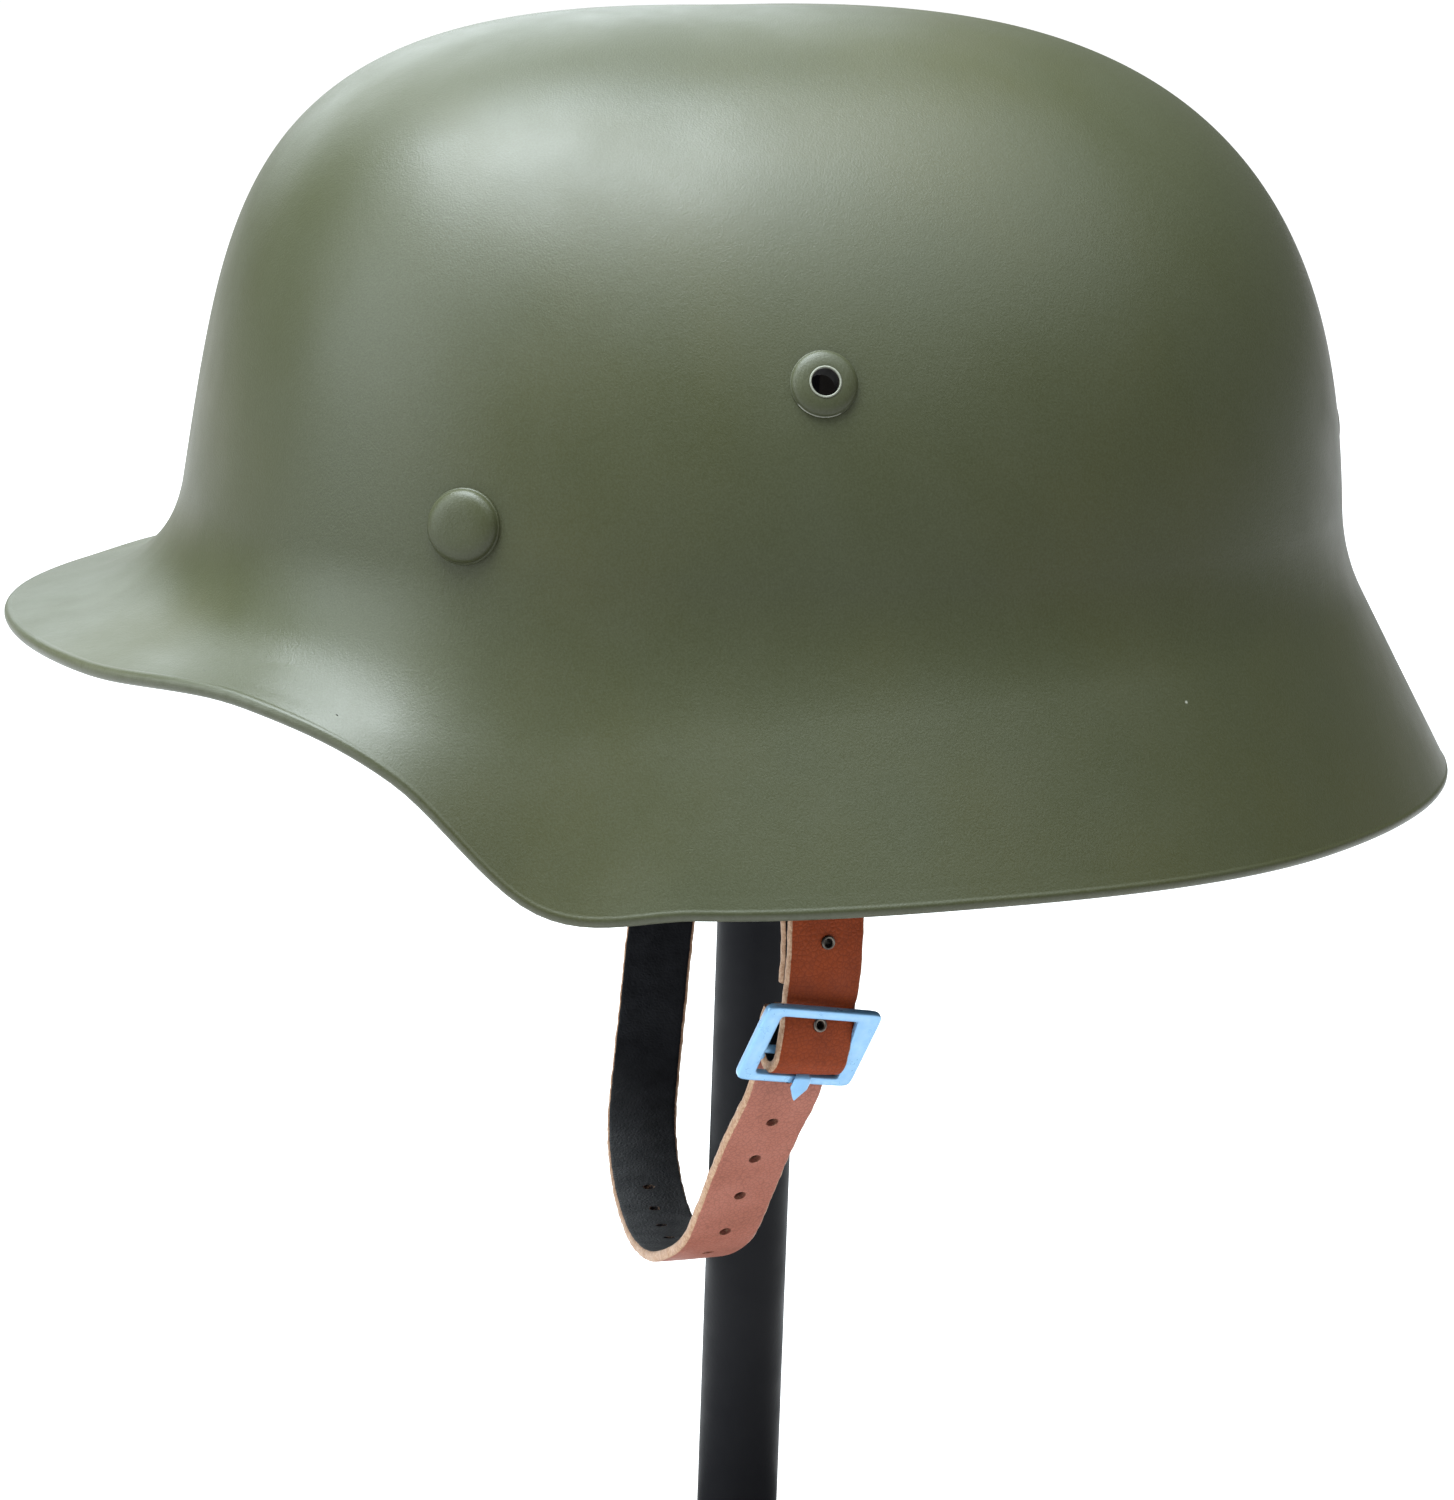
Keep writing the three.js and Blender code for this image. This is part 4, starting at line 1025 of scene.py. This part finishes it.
ring_grid, ring_crest_highlight = buckle_ring()
EAR, EAR_RADIUS = 9.8, 1.0
bar_grid = tube_points((BAR_ALONG, BAR_DEPTH, -EAR), (BAR_ALONG, BAR_DEPTH, EAR), BAR_RADIUS)
ear_grids = [tube_points((BAR_ALONG, BAR_DEPTH, end), (BAR_ALONG, BUCKLE["lift"], end), EAR_RADIUS)
             for end in (-EAR, EAR)]
rods = [(outward_grid(on_buckle(g[..., 0], g[..., 1], g[..., 2])), True) for g in (bar_grid, *ear_grids)]
ring_out = outward_grid(ring_grid)
buckle_points, buckle_faces = join([(ring_out, False), *rods])
# The buckle's wear mark holds the painted highlight on the frame's crest.
crest_highlight_marks = np.zeros(len(buckle_points))
crest_highlight_marks[:ring_crest_highlight.size] = (ring_crest_highlight if ring_out is ring_grid else ring_crest_highlight[:, ::-1]).ravel()
make_piece("buckle_ring", seat(buckle_points), buckle_faces, "buckle_frame", BLUE_REFLECTION_METAL,
           {"wear": crest_highlight_marks})

# %% [markdown]
# ## Prong
# The prong is a strip of metal curled round the hidden bar. It runs down behind the low bar of
# the frame, comes up over it and ends in a blunt point. It is one rounded section carried along
# a line, with a width that swells at the shoulders and closes at the tip.

# %% Prong
PRONG_WIDE, PRONG_TIP = 2.4, 3.4
prong_front = BUCKLE["lift"] + BUCKLE["thick"] / 2 + GAP + PRONG_WIRE / 2
low = BUCKLE["low"]
curl = bend((BAR_ALONG, BAR_DEPTH), BAR_RADIUS + PRONG_CLEAR + PRONG_WIRE / 2, 1.35 * np.pi, 0.12 * np.pi, 12)
prong_knots = np.concatenate([curl, [
    (BAR_ALONG + 2.4, BAR_DEPTH + 0.35), (low - 3.4, 0.9), (low - 2.6, 2.2),
    (low - 2.0, prong_front - 0.15), (low - 1.2, prong_front),
    (low + 0.6, prong_front), (low + 3.0, prong_front),
]])


def prong_strip():
    """Squared section along a smooth line; the width is a short table over the line's length."""
    line = smooth_line(prong_knots, 8)
    at = distances(line)
    s = np.linspace(0, at[-1], 90)
    line = np.stack([np.interp(s, at, column) for column in line.T], -1)
    step = unit(np.gradient(line, axis=0))
    left = at[-1] - s
    width = np.interp(left, [0, 0.25, 2.6, 4.6, 6.0], [0.3, 0.7, PRONG_TIP, PRONG_TIP, PRONG_WIDE])
    ca, sa = squared(np.linspace(0, 2 * np.pi, 24, endpoint=False)[None, :], 3.5)
    lift, side = PRONG_WIRE / 2 * sa, ca * width[:, None] / 2
    along = line[:, :1] - step[:, 1:] * lift
    out = line[:, 1:] + step[:, :1] * lift
    return on_buckle(along, out, side)


prong_points, prong_faces = join([(outward_grid(prong_strip()), True)])
make_piece("prong_strip", seat(prong_points), prong_faces, "buckle_prong", BLUE_REFLECTION_METAL,
           {"wear": np.zeros(len(prong_points))})

# %% [markdown]
# ## The stand
# The stand is plain and black: a steel pole on a round foot, with a small pad that follows the
# inside of the crown. The pole and the foot are turned profiles with softened edges; the pad
# keeps its solid and only takes the finish. The black is satin, with faint scuffs and dust.

# %% Stand
POLE_RADIUS, CAP_DEPTH, BASE_RADIUS, BASE_THICKNESS, FOOT_ROUND = 8.2, 7.0, 75.0, 8.0, 1.5


def satin_black():
    """Nearly black, with cloudy roughness, fine grain and a few grey scuffs along the pole."""
    black = Finish("satin_black", Specular_IOR_Level=0.06)
    clouds = black.noise(40, 4)
    scuffs = black.noise(90, 5, 0.7, black.stretched(1, 1, 0.35))
    base = black.ramp(clouds, [(0.3, (0.0075, 0.0075, 0.009)), (0.7, (0.013, 0.013, 0.0145))])
    colour = black.mix(black.ramp(scuffs, [(0.66, 0.0), (0.74, 0.25)]), base, (0.12, 0.12, 0.12))
    rough = black.ramp(black.noise(120, 4), [(0.3, 0.42), (0.75, 0.58)])
    grain = black.bump(black.noise(1400, 2), 0.00006, 0.4)
    return black.wear(Base_Color=colour, Roughness=rough, Normal=grain)


BLACK = satin_black()
up_axis = np.array([0.0, 0.0, 1.0])
pole_low, pole_high = BASE_THICKNESS + GAP, POLE_HEAD - CAP_DEPTH - GAP
pole_profile = [(0, pole_low), (POLE_RADIUS - 0.4, pole_low), (POLE_RADIUS, pole_low + 0.4),
                (POLE_RADIUS, pole_high - 0.4), (POLE_RADIUS - 0.4, pole_high), (0, pole_high)]
soft = np.linspace(0, np.pi / 2, 7)
top_edge = [BASE_RADIUS, BASE_THICKNESS] + FOOT_ROUND * (np.stack([np.cos(soft), np.sin(soft)], -1) - 1)
base_profile = np.concatenate([[(0, 0), (BASE_RADIUS - 0.6, 0), (BASE_RADIUS, 0.6)], top_edge,
                               [(POLE_RADIUS + 2, BASE_THICKNESS), (0, BASE_THICKNESS)]])
for name, node, profile, steps in (
    ("pole_rod", "stand_pole", pole_profile, 96),
    ("foot_disc", "stand_base", base_profile, 160),
):
    stand_points, stand_faces = turned(profile, steps, np.zeros(3), up_axis)
    make_piece(name, stand_points * MM, stand_faces, node, BLACK)
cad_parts["stand_cap"].data.materials.clear()
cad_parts["stand_cap"].data.materials.append(BLACK)

# %% [markdown]
# ## Floor and light
# The photograph is a cut-out on white, so the floor is one wide white sheet that also glows a
# little, and the surroundings are a plain white sky. A soft lamp above the visor gives the broad
# highlight on the dome, a wide one overhead lights the skirt, one before the visor lights the
# front, and a weak one from behind keeps the far edge from going flat.

# %% Floor and light
FLOOR_HALF, SKY_STRENGTH = 30.0, 0.22
COOL = (0.86, 0.95, 1.0)
HELMET_MIDDLE = (0, 0, 0.27)
LAMPS = np.array([
    ("lamp_above", (0.02, -0.42, 1.7), 1.1, 92),
    ("lamp_overhead", (0.45, 0.30, 2.0), 2.0, 50),
    ("lamp_before_visor", (0.45, -1.7, 1.1), 1.5, 46),
    ("lamp_behind", (-1.6, -0.35, 1.2), 1.4, 19),
], dtype=[("name", "U20"), ("place", float, 3), ("size", float), ("power", float)])


def white_sheet():
    """White floor that gives off a little light of its own, with the faintest cloudiness."""
    sheet = Finish("white_sheet", Roughness=0.9, Emission_Strength=0.95)
    tone = sheet.ramp(sheet.noise(0.6, 2), [(0.3, 0.30), (0.7, 0.33)])
    sheet.shader.inputs["Emission Color"].default_value = (1, 1, 1, 1)
    return sheet.wear(Base_Color=tone)


floor_mesh = bpy.data.meshes.new("floor")
floor_mesh.from_pydata([(-FLOOR_HALF, -FLOOR_HALF, 0), (FLOOR_HALF, -FLOOR_HALF, 0),
                        (FLOOR_HALF, FLOOR_HALF, 0), (-FLOOR_HALF, FLOOR_HALF, 0)], [], [(0, 1, 2, 3)])
floor_mesh.materials.append(white_sheet())
floor = bpy.data.objects.new("floor", floor_mesh)
bpy.context.scene.collection.objects.link(floor)


def soft_lamp(name, place, size, power):
    """Square soft box at a place in metres, turned to the middle of the helmet."""
    data = bpy.data.lights.new(name, "AREA")
    data.size, data.energy, data.color = size, power, COOL
    lamp = bpy.data.objects.new(name, data)
    bpy.context.scene.collection.objects.link(lamp)
    toward = unit(place - np.array(HELMET_MIDDLE))
    side = unit(np.cross([0, 0, 1.0], toward))
    turn = np.eye(4)
    turn[:3, :3] = np.stack([side, np.cross(toward, side), toward]).T
    turn[:3, 3] = place
    lamp.matrix_world = Matrix(turn.tolist())


for lamp_row in LAMPS:
    soft_lamp(str(lamp_row["name"]), lamp_row["place"], float(lamp_row["size"]), float(lamp_row["power"]))
world = bpy.data.worlds.new("white_sky")
world.use_nodes = True
sky = world.node_tree.nodes["Background"].inputs
sky["Color"].default_value = (1, 1, 1, 1)
sky["Strength"].default_value = SKY_STRENGTH
bpy.context.scene.world = world
bpy.context.scene.view_settings.view_transform = "Standard"
print("floor and", len(bpy.data.lights), "lamps")
